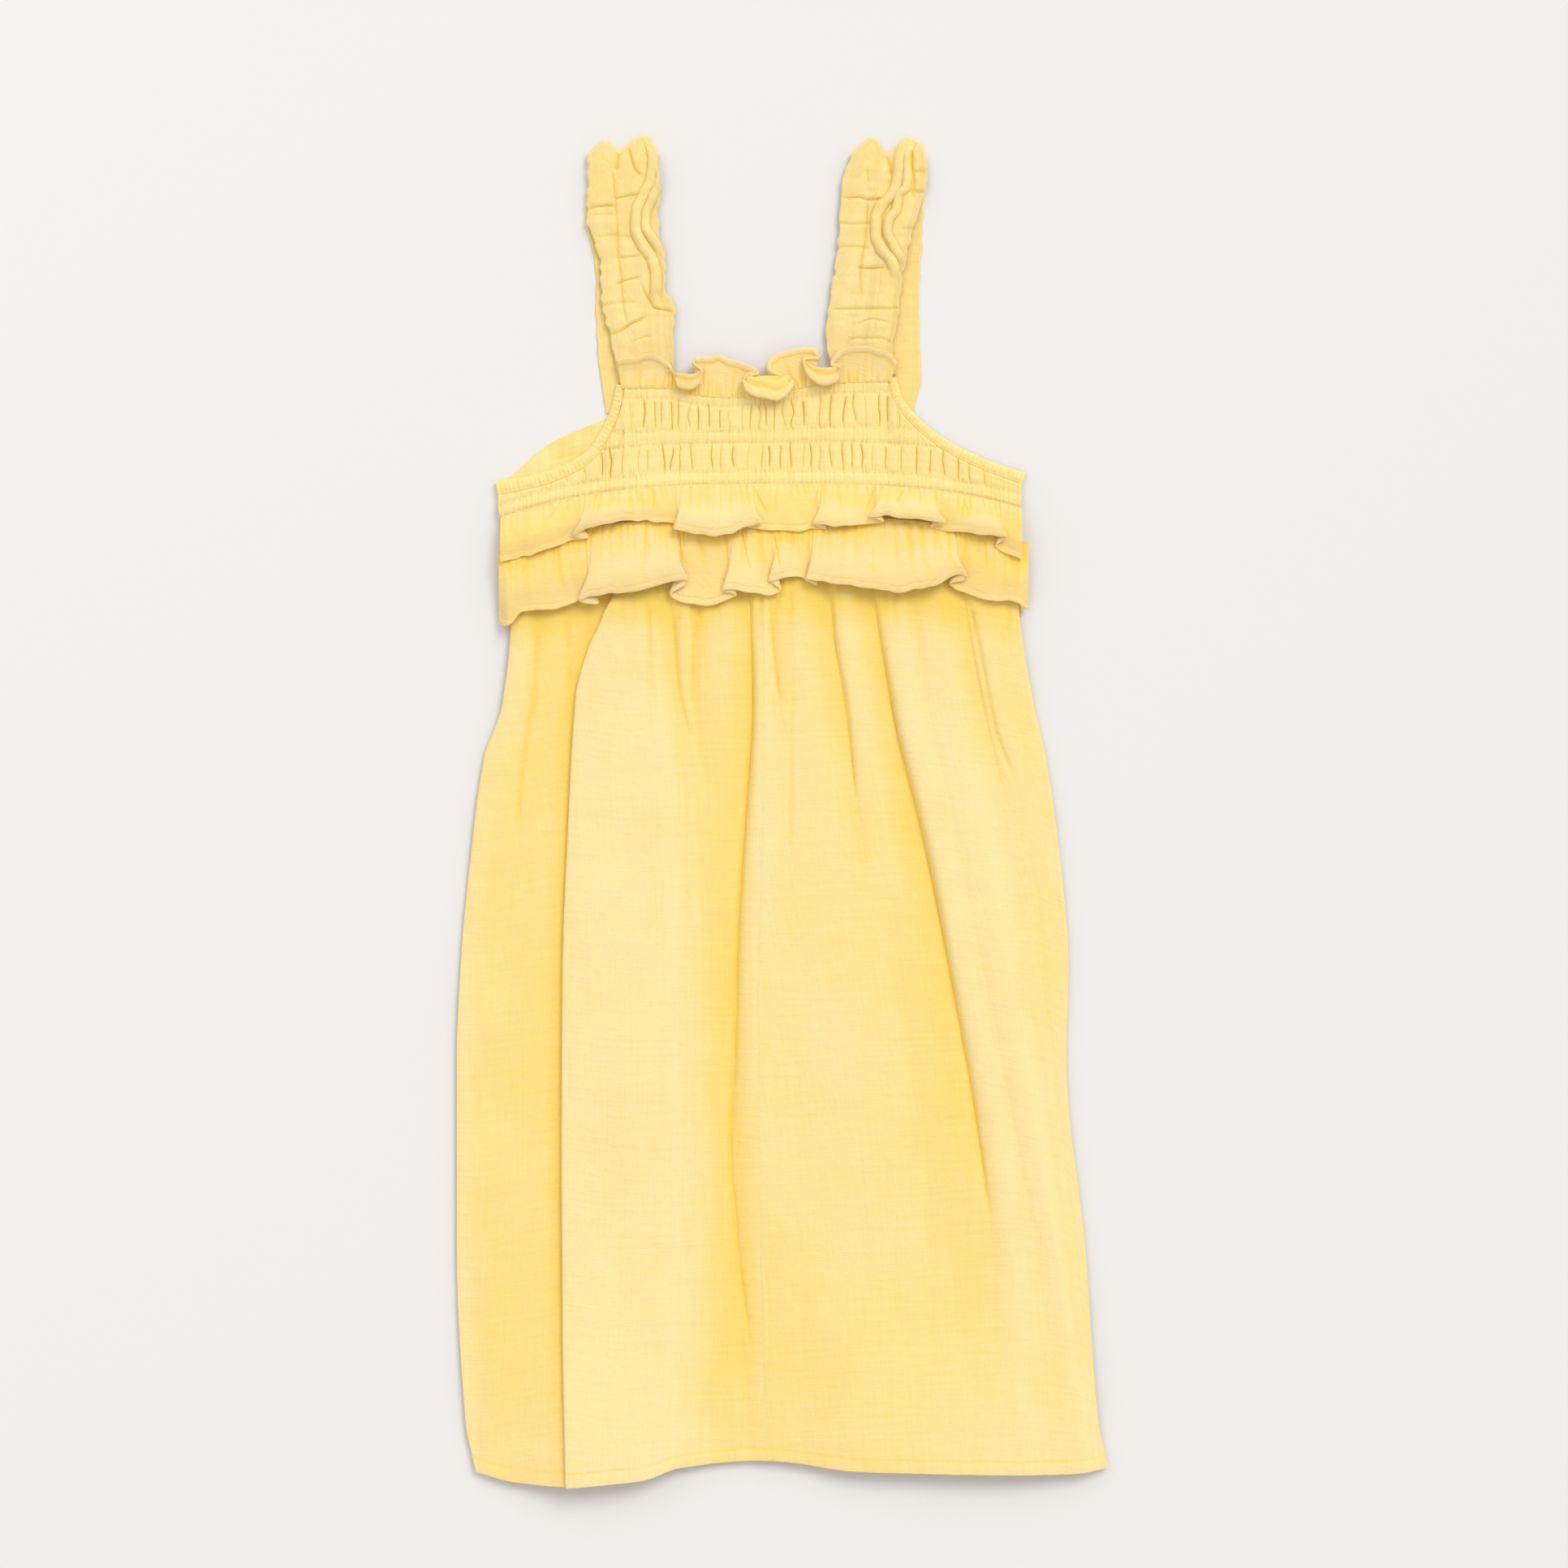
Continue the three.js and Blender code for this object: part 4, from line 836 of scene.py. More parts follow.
def binding(name, node, edge, widths):
    """A rounded band beside an edge: its height is a half ellipse across its width."""
    places, ahead = path_through(edge, BINDING_STEPS)
    away = np.stack([-ahead[:, 1], ahead[:, 0]], axis=1)
    width = np.linspace(*widths, len(places))
    across = np.linspace(0, 1, BINDING_COLUMNS)[None, :]
    step = (BINDING_CLEARANCE + across * width[:, None])[..., None]
    spots = places[:, None, :] + away[:, None, :] * step
    x, y = spots[..., 0], spots[..., 1]
    walked = np.linspace(0, 1, len(places))[:, None] * BINDING_LENGTH
    pucker = 0.24 * soft_noise(walked / 1.1, across * 2, 51) + 0.12 * np.sin(walked * 2.9)
    stitched = 0.3 * bump((across - 0.2) / 0.08)
    roundness = np.sqrt(np.clip(1 - (2 * across - 1) ** 2, 0, 1))
    roundness = np.where(across < 0.5, 0.55 + 0.45 * roundness, roundness)
    top = BINDING_HEIGHT * (0.35 + 0.65 * roundness) + (pucker - stitched) * roundness
    under = back_underside(y - dip(x)) + LAYER_STEP
    # Painted shade: lighter where the puckers rise, deeper where they sink and in the stitched dent.
    painted_shade = 0.1 - 0.9 * pucker + 0.6 * stitched
    piece = shell(name, stack(x, y, under + top), stack(x, y, under), BINDING_GAUZE, painted_shade)
    sew_in(piece, node)
    return np.stack([x, y, under + top], axis=-1)[:, BINDING_STITCHED]


binding_left = binding("armhole_binding_left_band", "armhole_binding_left", ARMHOLE_LEFT, (7, 4.4))
binding_right = binding("armhole_binding_right_band", "armhole_binding_right", ARMHOLE_RIGHT,
                        (4.4, 6))


# Ruffles
# Two tiers, each a straight strip gathered to its seam with a narrow rolled hem at its
# free edge. The fullness falls into lobes that lap over each other in folds.
FOLD_RADIUS = 0.95
SEAM_PITCH = 0.9
LOBE_STEPS = 60
LOBE_ARCH = 0.5
BEND_STEPS = 9
# Lit colour of the ruffle gauze, then the deeper colour painted into its shade.
RUFFLE_GAUZE = gauze("ruffle_gauze", (0.912, 0.702, 0.35), (0.95, 0.65, 0.125))
ROLLED_HEM = 2.9
STITCH_GAP = 0.2
UPPER_RUFFLE = {
    "left": -138.6, "right": 117.4, "seam": RUFFLE_SEAM_Y, "end_rest": 9.6,
    "folds": [  # middle, which side lies on top, lap
        (-99, 1, 5), (-51, 1, 2.5), (-14, -1, 5), (18, 1, 4), (46, 1, 4.5), (76, -1, 4.5),
        (107, -1, 3),
    ],
    "edge": np.array([  # x, y of the free edge
        (-138, 121.5), (-120, 127), (-114, 129.5), (-99, 133), (-83, 140), (-72, 141.6),
        (-63, 140.8), (-51, 138.4), (-38, 134.5), (-32, 133.6), (-17, 139), (-9, 137.5), (4, 135.6),
        (15, 138), (23, 140), (32, 138.4), (50, 143), (62, 142.6), (88, 136), (96, 134),
        (103, 133.5), (111, 126.5), (117, 122.5),
    ]),
    "rest": np.array([  # distance below the seam, height of the cloth's underside
        (0, 4.2), (2.5, 5.3), (7, 6.4), (13, 7.7), (18, 8.5), (26, 8.7),
    ]),
    # shaded: painted shadow added from the line shade_from up to the seam.
    "gathers": (0.6, 20, 84), "shaded": 0.15, "shade_from": lambda x: 155 + dip(x),
    "creases": [  # depth, half width, points down the crease
        (0.7, 0.6, [(-109.3, 151), (-111.5, 147), (-115, 142)]),
        (0.8, 0.6, [(-88.9, 158), (-90.8, 155), (-93.2, 151)]),
        (1.0, 0.6, [(-14.4, 157.7), (-11.6, 152), (-8, 145)]),
        (0.7, 0.5, [(17.7, 158.5), (16.6, 154), (14.8, 147)]),
        (0.9, 0.6, [(45, 158), (43.6, 153), (41, 147)]),
        (0.8, 0.5, [(60, 158.5), (58.6, 155), (55.7, 150)]),
        (0.6, 0.5, [(-64, 158), (-63, 153), (-63.5, 147)]),
        (0.7, 0.5, [(88, 153), (90, 148), (91, 142)]),
    ],
}
upper_edge = traced(UPPER_RUFFLE["edge"])
LOWER_RUFFLE = {
    "left": -139.4, "right": 120.6, "seam": 143.5, "end_rest": 3.0,
    "folds": [(-95, 1, 7), (-51, -1, 6), (-26, 1, 4), (-4, 1, 3.5), (14, 1, 3), (86, -1, 6)],
    "edge": np.array([
        (-139.4, 93), (-137, 89.5), (-134.6, 90), (-130, 95.5), (-114, 99), (-102, 103),
        (-97, 101), (-90, 104), (-72, 107), (-55, 112), (-46, 102), (-38, 99.8), (-29, 105), (-22, 108),
        (-10, 104.6), (-1, 111), (6, 113), (12, 109.5), (18, 112.4), (34, 109),
        (55, 106.4), (68, 108.5), (80, 114.5), (92, 106.5), (102, 102.6), (115, 101.8),
        (120, 98.6),
    ]),
    "rest": np.array([(0, 6.3), (6, 6.9), (26, 7.3), (40, 8.2)]),
    # shaded: painted shadow added from the line shade_from up to the seam.
    "gathers": (0.9, 38, 84), "shaded": 0.75, "shade_from": lambda x: upper_edge(x) - 8,
    "creases": [
        (1.2, 0.6, [(-51.6, 140), (-50.6, 131), (-49.4, 120)]),
        (0.9, 0.6, [(-20.2, 137), (-18.4, 127), (-15.9, 117)]),
        (1.0, 0.6, [(-5.6, 138), (-3, 128), (-1.3, 118)]),
        (0.8, 0.6, [(13.3, 141), (13, 134), (11.9, 126)]),
        (0.9, 0.4, [(43.4, 143), (43.8, 130), (44, 114)]),
        (0.8, 0.6, [(81.9, 141), (84.6, 135), (87.8, 129)]),
        (0.8, 0.7, [(-83, 141), (-84.6, 137), (-86, 131)]),
        (0.7, 0.6, [(-123.9, 124), (-126, 120), (-128.3, 115)]),
        (0.7, 0.6, [(98, 133), (99.6, 126), (100, 118)]),
        (0.6, 0.6, [(62, 141), (61.6, 134), (62.4, 127)]),
    ],
}


def folded_section(spec, share):
    """Places across a ruffle, row by row from its seam, share 0, to its free edge: x, the
    fold's height, and the x at the seam that each place was gathered from."""
    column = np.ones_like(share)
    stretches = [(spec["left"] * column, 0 * column, spec["left"] * column)]
    for middle, side, lap in spec["folds"]:
        run = lap * smooth((share - 0.5) / 0.5)
        x, z = z_fold(middle, side, FOLD_RADIUS, run, math.pi * share, BEND_STEPS)
        count = x.shape[1]
        spread = (np.arange(count) - (count - 1) / 2)[None, :] * SEAM_PITCH * 8 / count
        stretches.append((x + spread * (1 - share) ** 2, z, middle + spread + 0 * share))
    stretches.append((spec["right"] * column, 0 * column, spec["right"] * column))
    t = np.linspace(0, 1, LOBE_STEPS + 1)[None, 1:-1]
    parts = [stretches[0]]
    for (x, z, g), following in zip(stretches, stretches[1:]):
        next_x, next_z, next_g = (part[:, :1] for part in following)
        arch = LOBE_ARCH * share * np.sin(math.pi * t)
        parts.append((mix(x[:, -1:], next_x, t), mix(z[:, -1:], next_z, smooth(t)) + arch,
                      mix(g[:, -1:], next_g, t)))
        parts.append(following)
    return [np.concatenate(part, axis=1) for part in zip(*parts)]


def ruffle(name, node, spec, seed):
    """A strip whose section goes from gathers at the seam to full folds at its edge, where
    a narrow hem is rolled. Gives the path of the hem's stitching."""
    share = np.concatenate([np.linspace(0, 0.86, 26), np.linspace(0.875, 1, 14)])[:, None]
    x, z, g = folded_section(spec, share)
    seam_y = spec["seam"] + dip(g)
    edge_y = traced(spec["edge"])(g)
    wavy = 0.55 * soft_noise(g / 3.4, 0 * g, seed) + 0.8 * soft_noise(g / 9, 0 * g, seed + 5)
    y = mix(seam_y, edge_y, share) + wavy * share
    below = seam_y - y
    rest = traced(spec["rest"])(below) + CLOTH / 2
    from_end = np.minimum(x - spec["left"], spec["right"] - x)
    rounded = share * (1 - smooth(from_end / 5.5))
    tall, reach, count = spec["gathers"]
    tucks = gathers(g, below, (spec["left"], spec["right"]), count, seed, reach, 0.75)
    slack = 0.7 * soft_noise(g / 12, below / 21, seed + 1)
    slack = slack + 0.18 * soft_noise(g / 3.4, below / 9, seed + 2)
    slack = slack + 0.9 * share ** 2 * soft_noise(g / 6.5, below / 60, seed + 4)
    lines = creased(x, y, spec["creases"])
    from_edge = y - edge_y - wavy * share
    hem = smooth((ROLLED_HEM - from_edge) / 0.7)
    groove = bump((from_edge - ROLLED_HEM - STITCH_GAP) / 0.55)
    puckers = 0.2 * soft_noise(g / 1.9, from_edge / 6, seed + 3)
    shift = (1 - tucks) * tall + slack * smooth(share * 4) - 0.12 * groove
    shift = shift + puckers * (hem + groove) - 0.6 * lines
    middle = stack(x, y, mix(rest, spec["end_rest"], rounded) + z + shift)
    thickness = CLOTH * (0.72 + 0.3 * hem)
    # Painted shade: deeper where the folds lie low, in the gathers and creases, in the stitching
    # groove, and a painted shadow from shade_from up to the seam.
    painted_shade = 0.75 * (1 - smooth(z / 2.4)) * smooth(share * 2) * (1 - smooth(below / 60))
    shaded = smooth((y - spec["shade_from"](x)) / 9)
    painted_shade = 0.6 * painted_shade + 0.1 * groove + (0.7 + 0.5 * shaded) * tucks + 0.05
    painted_shade = painted_shade + spec["shaded"] * shaded + 0.8 * lines
    piece = wall(name, middle, RUFFLE_GAUZE, thickness=thickness[..., None], painted_shade=painted_shade)
    sew_in(piece, node)
    stitched = int(np.argmin(abs(np.median(from_edge, axis=1) - ROLLED_HEM - STITCH_GAP)))
    return middle[stitched] + (0, 0, 0.4 * CLOTH)


upper_hem = ruffle("ruffle_upper_tier", "ruffle_upper_front", UPPER_RUFFLE, 61)
lower_hem = ruffle("ruffle_lower_tier", "ruffle_lower_front", LOWER_RUFFLE, 71)


def back_ruffle(name, node, left, right, seam, drop, rise):
    """A back length of a tier, pressed flat between the table and the back."""
    x = np.linspace(left, right, 100)[None, :]
    share = np.linspace(0, 1, 20)[:, None]
    y = seam + dip(x) - drop * share
    under = rise * smooth((y - dip(x) - 127) / 6)
    top = under + CLOTH
    # An even painted shade of 0.2.
    piece = shell(name, stack(x, y, top), stack(x, y, under), RUFFLE_GAUZE, 0.2)
    sew_in(piece, node)


back_ruffle("ruffle_upper_back_tier", "ruffle_upper_back", -137.6, 116.4, RUFFLE_SEAM_Y, 25, 0)
back_ruffle("ruffle_lower_back_tier", "ruffle_lower_back", -138, 117.5, SKIRT_SEAM_Y, 35,
            LAYER_STEP)


# Straps
# Each is a wide band, doubled and ruched on elastic down its middle. It goes in behind
# the neck frill, runs up, folds over at the shoulder and comes down behind to the back.
# Its inner side has rolled into two ridges, and creases cross it where the elastic pulls.
LEFT_STRAP = {
    "front": np.array([  # y, left, where the roll starts, right
        (209, -80, -66, -53), (232, -84.8, -68, -53.8), (245, -88, -63, -53),
        (257, -89.4, -66, -58), (269, -89.8, -65, -57.6), (281, -93.6, -73, -60.4),
        (293, -96.6, -74, -61.4), (305, -96, -71, -59.8), (317, -96, -75, -61.2),
        (326, -95, -76, -62),
    ]),
    "back": np.array([  # y, left, right
        (195, -87.2, -56), (232, -91.6, -57), (264, -92, -60), (293, -97, -63),
        (326, -95, -62),
    ]),
    "top": np.array([  # share of the width, y
        (0, 322), (0.22, 328.5), (0.45, 323.5), (0.66, 329), (0.85, 331), (1, 322),
    ]),
    "ridges": [  # height, half width, points up the ridge
        (2.5, 2.3, [(-62.6, 249), (-62.2, 261.4), (-64.2, 270.2), (-69, 277.4), (-72.2, 285.4),
                    (-71.8, 293.4), (-68.2, 302.2), (-64.6, 310.2), (-63.8, 320.6), (-66.6, 331)]),
        (2.3, 1.9, [(-60, 271), (-61, 275.8), (-64.2, 280.6), (-67.6, 287), (-67.4, 291.8),
                    (-64.2, 300.6), (-61, 310.2), (-60, 318)]),
    ],
    "creases": [  # depth, half width, points along the crease
        (1.2, 0.8, [(-96, 295.2), (-89.8, 296.2), (-82.6, 296.6)]),
        (1.0, 0.8, [(-82.6, 299.8), (-75.4, 301.4), (-71, 302)]),
        (0.5, 0.8, [(-94, 292), (-82.6, 292.2)]),
        (0.8, 0.9, [(-76.2, 237.4), (-78.6, 248.6), (-79.4, 259.8), (-81, 272.6), (-81.8, 291.8),
                    (-83.8, 314)]),
        (0.8, 0.8, [(-80.2, 270.6), (-73.8, 271.4), (-69.8, 271.8)]),
        (1.0, 0.8, [(-82.6, 257.4), (-77.8, 259.4), (-69.8, 261.4)]),
        (1.4, 0.9, [(-89, 232.2), (-79.4, 235), (-75.4, 237.8), (-67.4, 241.8)]),
        (1.5, 0.9, [(-69.4, 256.6), (-65.8, 250.2), (-62.6, 246), (-54, 244.6)]),
        (0.7, 0.7, [(-74.6, 229), (-69.8, 231.4), (-64, 232.6)]),
        (1.5, 1.2, [(-80.2, 325), (-81.8, 313.4)]),
        (1.4, 1.0, [(-75.8, 325), (-73, 315), (-69.8, 310.8)]),
        (0.6, 0.8, [(-92, 281), (-84, 282), (-74, 281)]),
        (0.6, 0.9, [(-90, 247), (-82, 248.5), (-72, 249)]),
    ],
}
RIGHT_STRAP = {
    "front": np.array([
        (214, 26, 42, 56), (228, 21.6, 42, 54), (245, 22.6, 44, 57), (257, 24.4, 50, 58),
        (269, 26.4, 49, 60), (281, 27.6, 46, 63), (293, 28, 46, 66.6),
        (305, 29.4, 52, 70), (317, 32, 56, 71), (326, 35, 54, 70),
    ]),
    "back": np.array([
        (195, 34, 64.4), (214, 33, 68), (245, 32, 66.8), (285, 30, 68.6), (326, 35, 70),
    ]),
    "top": np.array([
        (0, 322), (0.26, 330), (0.48, 322), (0.75, 330), (0.9, 328), (1, 320),
    ]),
    "ridges": [
        (2.6, 2.3, [(55.8, 262), (53.4, 269.4), (48.6, 275), (45.8, 282.2), (45.8, 289.4),
                    (48.6, 296.6), (54.2, 303), (56.6, 311), (57.4, 320.6), (60.2, 330)]),
        (2.4, 1.9, [(60, 268), (54.2, 277.4), (51.4, 283.8), (51.8, 288.6), (55.8, 295),
                    (56.6, 301.4), (60.6, 306.2), (61, 312.6), (61.4, 322.2), (64.6, 330)]),
    ],
    "creases": [
        (1.2, 0.8, [(30, 300.2), (37.4, 300.6), (41.4, 299.4), (50, 299.8)]),
        (0.7, 0.9, [(41.4, 315), (41.8, 308)]),
        (1.4, 1.1, [(49, 326), (51.8, 319), (53.4, 311)]),
        (1.1, 0.8, [(36, 266), (42, 265.6), (50.4, 266.2)]),
        (0.8, 0.9, [(38.6, 250), (38.2, 265.4), (40.6, 280.6), (41.8, 299)]),
        (1.0, 0.8, [(24, 245.6), (37.4, 245.8), (63, 246.2)]),
        (0.7, 0.7, [(36, 238.4), (43.8, 240.6), (52.8, 239.2)]),
        (0.9, 0.7, [(31, 228.6), (35.8, 231.4), (47.8, 231.4), (54, 228.8)]),
        (1.6, 1.1, [(64.2, 300), (64.6, 308), (63.8, 314), (63, 324)]),
        (1.2, 0.8, [(63.4, 313.2), (71, 313.8)]),
        (1.2, 0.8, [(62.6, 303), (71, 303.8)]),
        (0.7, 0.8, [(27, 288), (35, 287.4), (44, 288)]),
        (0.6, 0.8, [(25, 276), (33, 276.4), (43, 275.6)]),
        (0.6, 0.8, [(58, 285), (64, 285.6), (70, 285)]),
    ],
}
BACK_NECK_Y = 194.5
STRAP_BACK_REST = 0.6
STRAP_BASE_REST = 2.6
STRAP_FRONT_REST = 3.4
STRAP_BEND = (STRAP_FRONT_REST - STRAP_BACK_REST) / 2
STRAP_PLAIN = 13.0
STRAP_COLUMNS, FRONT_ROWS, BEND_ROWS, BACK_RUN_ROWS = 72, 200, 12, 34
# Lit colour of the strap gauze, then the deeper colour painted into its shade.
STRAP_GAUZE = gauze("strap_gauze", (0.908, 0.722, 0.345), (0.85, 0.60, 0.12), pucker=1.3)


def strap(name, node, spec, seed):
    """The front run is a low pillow over the strap's outline, with its ridges added as
    half rounds and its creases taken away; the bend is a half circle, the back flat."""
    front, back, top = spec["front"], spec["back"], spec["top"]
    share = np.linspace(0, 1, STRAP_COLUMNS)[None, :]
    at_top = traced(top)(share) - STRAP_BEND
    left_side, right_side = (traced(front, i) for i in (1, 3))
    up = np.linspace(0, 1, FRONT_ROWS)[:, None]
    base = front[0, 0]
    y = mix(base, at_top, up)
    settle = smooth((y - base - STRAP_PLAIN) / 9)
    edge_wave = 0.7 * soft_noise(y / 3.1, 0 * y, seed) * (1 - 2 * share) * settle
    x = mix(left_side(y), right_side(y), share) + edge_wave
    pillow = 1.3 * (4 * share * (1 - share)) ** 0.5
    uneven = 0.35 * soft_noise(x / 7, y / 6, seed + 1) + 0.2 * soft_noise(x / 9, y / 2.2, seed + 2)
    lines = creased(x, y, spec["creases"])
    ridges, beside_ridge = np.zeros(x.shape), np.zeros(x.shape)
    for tall, wide, path in spec["ridges"]:
        distance, between = beside(x, y, path)
        round_top = tall * np.sqrt(np.clip(1 - (distance / wide) ** 2, 0, 1))
        ridges = np.maximum(ridges, round_top * between)
        beside_ridge = np.maximum(beside_ridge, between * bump((distance - wide) / 0.8))
        beside_ridge = np.maximum(beside_ridge, between * bump((distance + wide) / 0.8))
    rest = mix(STRAP_BASE_REST, STRAP_FRONT_REST, smooth(up * 10))
    relief = np.clip(pillow * settle + uneven * settle + ridges - lines, -0.2, None)
    front_run = stack(x, y, rest + relief * mix(smooth((1 - up) * 14), 1, 0.3))
    # Painted shade: deeper in the creases and beside the ridges, lighter on the swells; an even painted
    # shade on the bend and the back run.
    valley = np.clip(beside_ridge - ridges / 2, 0, 1)
    front_painted_shade = 0.12 + 0.62 * lines * settle + 0.75 * valley - 0.25 * uneven * settle
    bend = np.linspace(0, math.pi, BEND_ROWS)[1:-1, None]
    bend_run = stack(
        x[-1:], at_top + STRAP_BEND * np.sin(bend),
        mix(STRAP_BACK_REST, front_run[-1:, :, 2], (1 + np.cos(bend)) / 2),
    )
    down = np.linspace(0, 1, BACK_RUN_ROWS)[:, None]
    back_y = mix(at_top, BACK_NECK_Y + SEAM_GAP, down)
    left, right = (traced(back, i)(back_y) for i in (1, 2))
    straight = mix(left, right, share) + 0.6 * soft_noise(back_y / 2.6, share * 0, seed + 3)
    back_run = stack(mix(x[-1:], straight, smooth(down * 4)), back_y, STRAP_BACK_REST)
    middle = np.concatenate([front_run, bend_run, back_run])[::-1]
    bend_painted_shade = np.full((len(bend), share.size), 0.2)
    back_painted_shade = np.full((len(down), share.size), 0.3)
    painted_shade = np.concatenate([front_painted_shade, bend_painted_shade, back_painted_shade])[::-1]
    piece = wall(name, middle, STRAP_GAUZE, painted_shade=painted_shade)
    sew_in(piece, node)


strap("strap_left_band", "strap_left", LEFT_STRAP, 81)
strap("strap_right_band", "strap_right", RIGHT_STRAP, 91)


# Neck frill
# A doubled strip gathered along the neckline casing, with a soft rolled edge. It lies over
# the feet of the straps, stands up between them and curls forward over the bodice.
FRILL_EDGE = np.array([  # x along the casing, then x, y, z of the free edge, and swell
    (-79, -82, 221, 5.2, 0), (-74, -76, 222.1, 5.4, 0), (-66, -65.8, 223.3, 5.6, 0),
    (-60, -57, 220.5, 6.2, 0), (-57, -53.5, 213.5, 8, 9), (-54, -51, 207.2, 8.6, 14),
    (-50, -46, 205.6, 8.8, 16), (-46, -41, 209, 8.8, 14), (-43, -39.6, 215.5, 8.2, 8),
    (-42, -43.5, 220.5, 7, 1), (-39, -40, 222.8, 6, 0), (-33, -32.8, 222.8, 5.8, 0),
    (-26, -22.8, 220.4, 6, 0), (-20, -13.8, 217, 6.6, 0), (-17, -12.5, 214.8, 7.4, 2),
    (-15, -17.5, 212.6, 8.8, 8), (-14, -19.2, 207.5, 10, 14), (-12, -14, 202.8, 10.4, 18),
    (-8, -5, 200.2, 10.6, 20), (-4, 2, 202, 10.4, 18), (-1, 4.8, 206.8, 9.6, 14),
    (0, 2.5, 210, 8.8, 10), (1, -3, 212.8, 8, 6), (2, -7.6, 216, 7.4, 3),
    (3, -7.8, 219.6, 7, 1), (5, -3.8, 223, 6.6, 0), (8, 3.2, 225.1, 6.4, 0),
    (11, 10.2, 226.6, 6.4, 0), (13, 15, 226.2, 6.6, 0), (14, 17.4, 222.6, 7, 1),
    (14.5, 14, 221.8, 7.8, 4), (15, 9.4, 220.4, 8.6, 6), (16, 10.4, 215, 9.2, 12),
    (18, 14.8, 210.4, 9.6, 15), (20, 21.2, 208, 9.8, 16), (23, 27.4, 209.6, 9.4, 14),
    (25, 28, 214.6, 8.6, 8), (26.5, 24.2, 219.4, 7.6, 3), (28, 26.6, 223.4, 6.8, 0),
    (32, 32.2, 226.6, 6.2, 0), (38, 39.2, 227.6, 6, 0), (45, 47.2, 226.4, 5.8, 0),
    (50, 53.6, 223.6, 5.6, 0), (53, 56, 220, 5.2, 0),
])
FRILL_FOOT = -1.3
FRILL_BASE_REST = 4.5
ROLLED_EDGE = 3.2
FRILL_COLUMNS = 440
FRILL_GATHERS = 60


def neck_frill():
    """Each column is a parabola from the casing to the free edge, drawn up towards a point
    between the two that lies higher where the cloth curls over: its swell."""
    steps = np.linspace(0, len(FRILL_EDGE) - 1, FRILL_COLUMNS)
    columns = [curve(np.arange(len(FRILL_EDGE)), FRILL_EDGE[:, i])(steps) for i in range(5)]
    foot_x, edge_x, edge_y, edge_z, swell = (c[None, :] for c in columns)
    edge_y = edge_y + 0.7 * soft_noise(foot_x / 3.2, 0 * foot_x, 103)
    edge_x = edge_x + 0.5 * soft_noise(foot_x / 2.7, 0 * foot_x, 105)
    foot_y = neckline(foot_x) + FRILL_FOOT
    rise = np.concatenate([np.linspace(0, 0.8, 16)[:-1], np.linspace(0.8, 1, 12)])[:, None]
    crest_y = mix(foot_y, edge_y, 0.5) + swell
    crest_z = mix(FRILL_BASE_REST, edge_z, 0.5) + 0.09 * swell

    def parabola(foot, crest, edge):
        return (1 - rise) ** 2 * foot + 2 * rise * (1 - rise) * crest + rise ** 2 * edge

    x = parabola(foot_x, mix(foot_x, edge_x, 0.5), edge_x)
    y = parabola(foot_y, crest_y, edge_y)
    z = parabola(FRILL_BASE_REST, crest_z, edge_z)
    reach = np.hypot(edge_y - foot_y, edge_x - foot_x) + swell
    tucks = gathers(foot_x, rise * reach, (-80, 53), FRILL_GATHERS, 101, 20, 0.6)
    from_edge = (1 - rise) * reach
    bead = np.sqrt(np.clip(1 - (2 * from_edge / ROLLED_EDGE - 1) ** 2, 0, 1))
    thickness = CLOTH * (0.8 + 1.3 * bead * smooth(reach / 10))
    curled = smooth(swell / 12)
    roll = bump((from_edge - 2 * ROLLED_EDGE) / 1.3) * curled
    valleys = bump((from_edge - ROLLED_EDGE - 0.5) / 0.7) * mix(0.5, 1, curled)
    valleys = valleys + bump((from_edge - 3 * ROLLED_EDGE) / 1.3) * curled
    # Painted shade: deeper near the casing, in the gathers, in the valleys of the rolled edge and under
    # the curls.
    painted_shade = 0.25 * (1 - rise) + 1.0 * tucks + 0.9 * valleys + 0.3 * curled * (1 - bead)
    piece = wall("neck_frill_strip", stack(x, y, z - 0.9 * tucks + 1.1 * roll)[::-1], RUFFLE_GAUZE,
                 thickness=thickness[::-1, :, None], painted_shade=painted_shade[::-1])
    sew_in(piece, "neck_frill")


neck_frill()


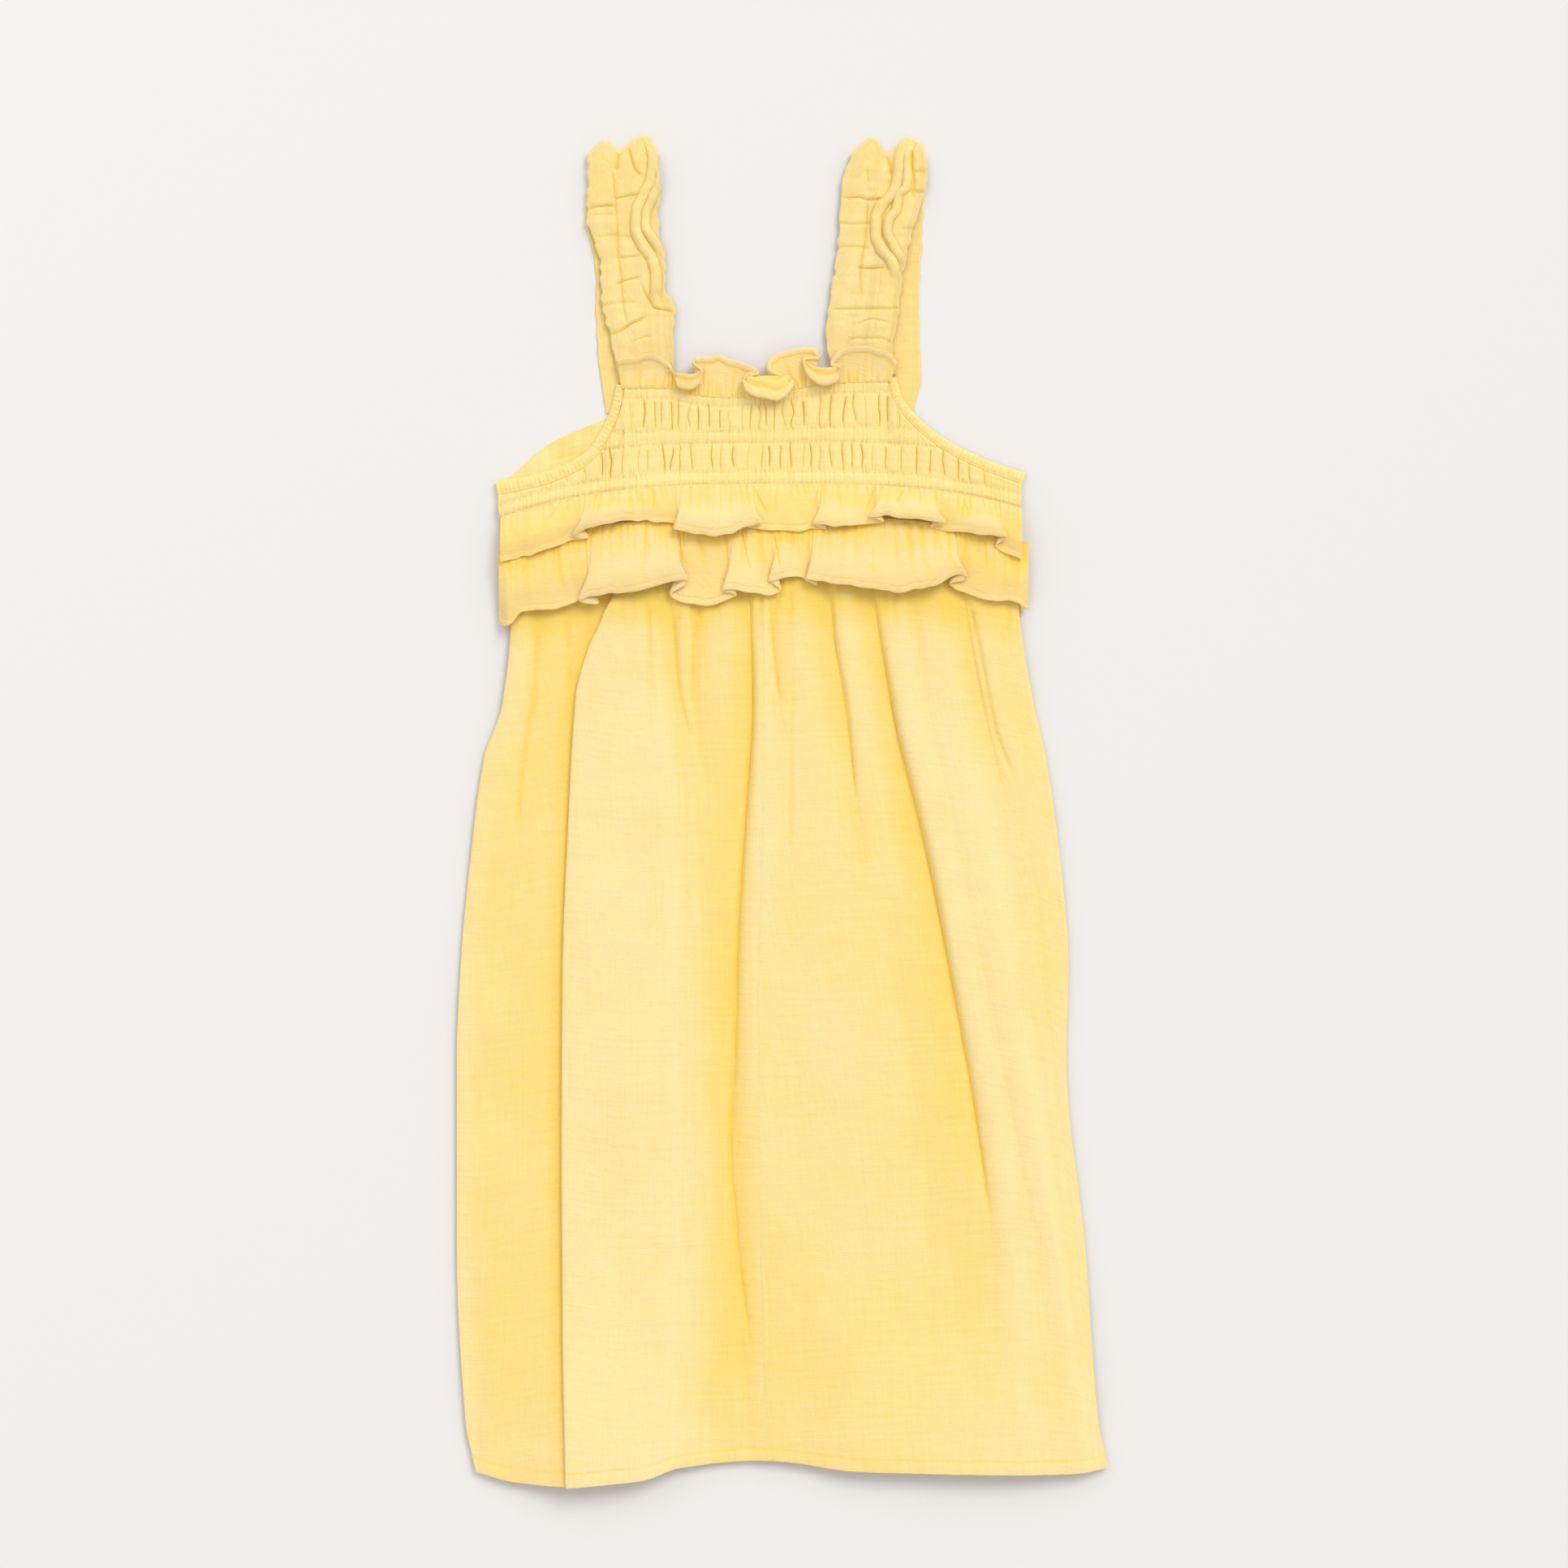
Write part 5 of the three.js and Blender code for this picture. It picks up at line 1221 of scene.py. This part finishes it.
# Stitches
# Cotton thread of the same yellow, in machine stitches 2.5 mm apart that sit in a shallow
# dent: along the hem, both ruffle hems, both edges of each casing and the bindings.
STITCH_PITCH = 2.5
STITCH_LENGTH = 1.9
THREAD_RADIUS = 0.17
THREAD = bpy.data.materials.new("cotton_thread")
THREAD.use_nodes = True
thread_shader = THREAD.node_tree.nodes["Principled BSDF"]
ply = linked(THREAD.node_tree, "ShaderNodeTexNoise",
             Vector=linked(THREAD.node_tree, "ShaderNodeTexCoord").outputs["Object"],
             Scale=3000.0, Detail=2.0)
thread_tone = linked(THREAD.node_tree, "ShaderNodeMix", {"data_type": "RGBA"},
                     _0=ply.outputs[0], _6=(0.93, 0.70, 0.30, 1), _7=(0.90, 0.66, 0.24, 1))
THREAD.node_tree.links.new(thread_tone.outputs[2], thread_shader.inputs["Base Color"])
thread_shader.inputs["Roughness"].default_value = 0.7


def stitches(name, paths):
    """Beads laid along paths: each is a row of rings whose radius is a half ellipse of the
    way along the stitch, turned to follow the path."""
    along = np.linspace(-1, 1, 4)
    round_way = np.linspace(0, 2 * math.pi, 6)[:-1]
    radius = THREAD_RADIUS * np.sqrt(1.04 - along ** 2)
    spots, aheads = [], []
    for path in paths:
        walked = np.linalg.norm(np.diff(path, axis=0), axis=1).sum()
        places, ahead = path_through(path, max(2, int(walked / STITCH_PITCH)))
        spots.append(places)
        aheads.append(ahead)
    spot, ahead = np.concatenate(spots), np.concatenate(aheads)
    beside_it = np.cross((0, 0, 1), ahead)
    beside_it /= np.linalg.norm(beside_it, axis=1, keepdims=True)
    above = np.cross(ahead, beside_it)
    length = ahead[:, None, None] * (along * STITCH_LENGTH / 2)[None, :, None, None]
    ring = (beside_it[:, None, None] * np.cos(round_way)[None, None, :, None]
            + above[:, None, None] * np.sin(round_way)[None, None, :, None])
    points = spot[:, None, None] + length + ring * radius[None, :, None, None]
    count, rings, sides = points.shape[:3]
    index = np.arange(points[..., 0].size).reshape(count, rings, sides)
    turned = np.roll(index, -1, axis=2)
    faces = np.stack([index[:, :-1], turned[:, :-1], turned[:, 1:], index[:, 1:]], axis=-1)
    ends = np.concatenate([index[:, 0, ::-1], index[:, -1]])
    mesh = bpy.data.meshes.new(name)
    mesh.from_pydata((points.reshape(-1, 3) * MM).tolist(), [],
                     faces.reshape(-1, 4).tolist() + ends.tolist())
    mesh.shade_smooth()
    mesh.materials.append(THREAD)
    piece = bpy.data.objects.new(name, mesh)
    bpy.context.collection.objects.link(piece)
    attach(piece, "root")


stitches("hem_stitches", [hem_left, hem_right])
stitches("ruffle_stitches", [upper_hem, lower_hem])
stitches("casing_stitches", casing_lines)
stitches("binding_stitches", [binding_left, binding_right])
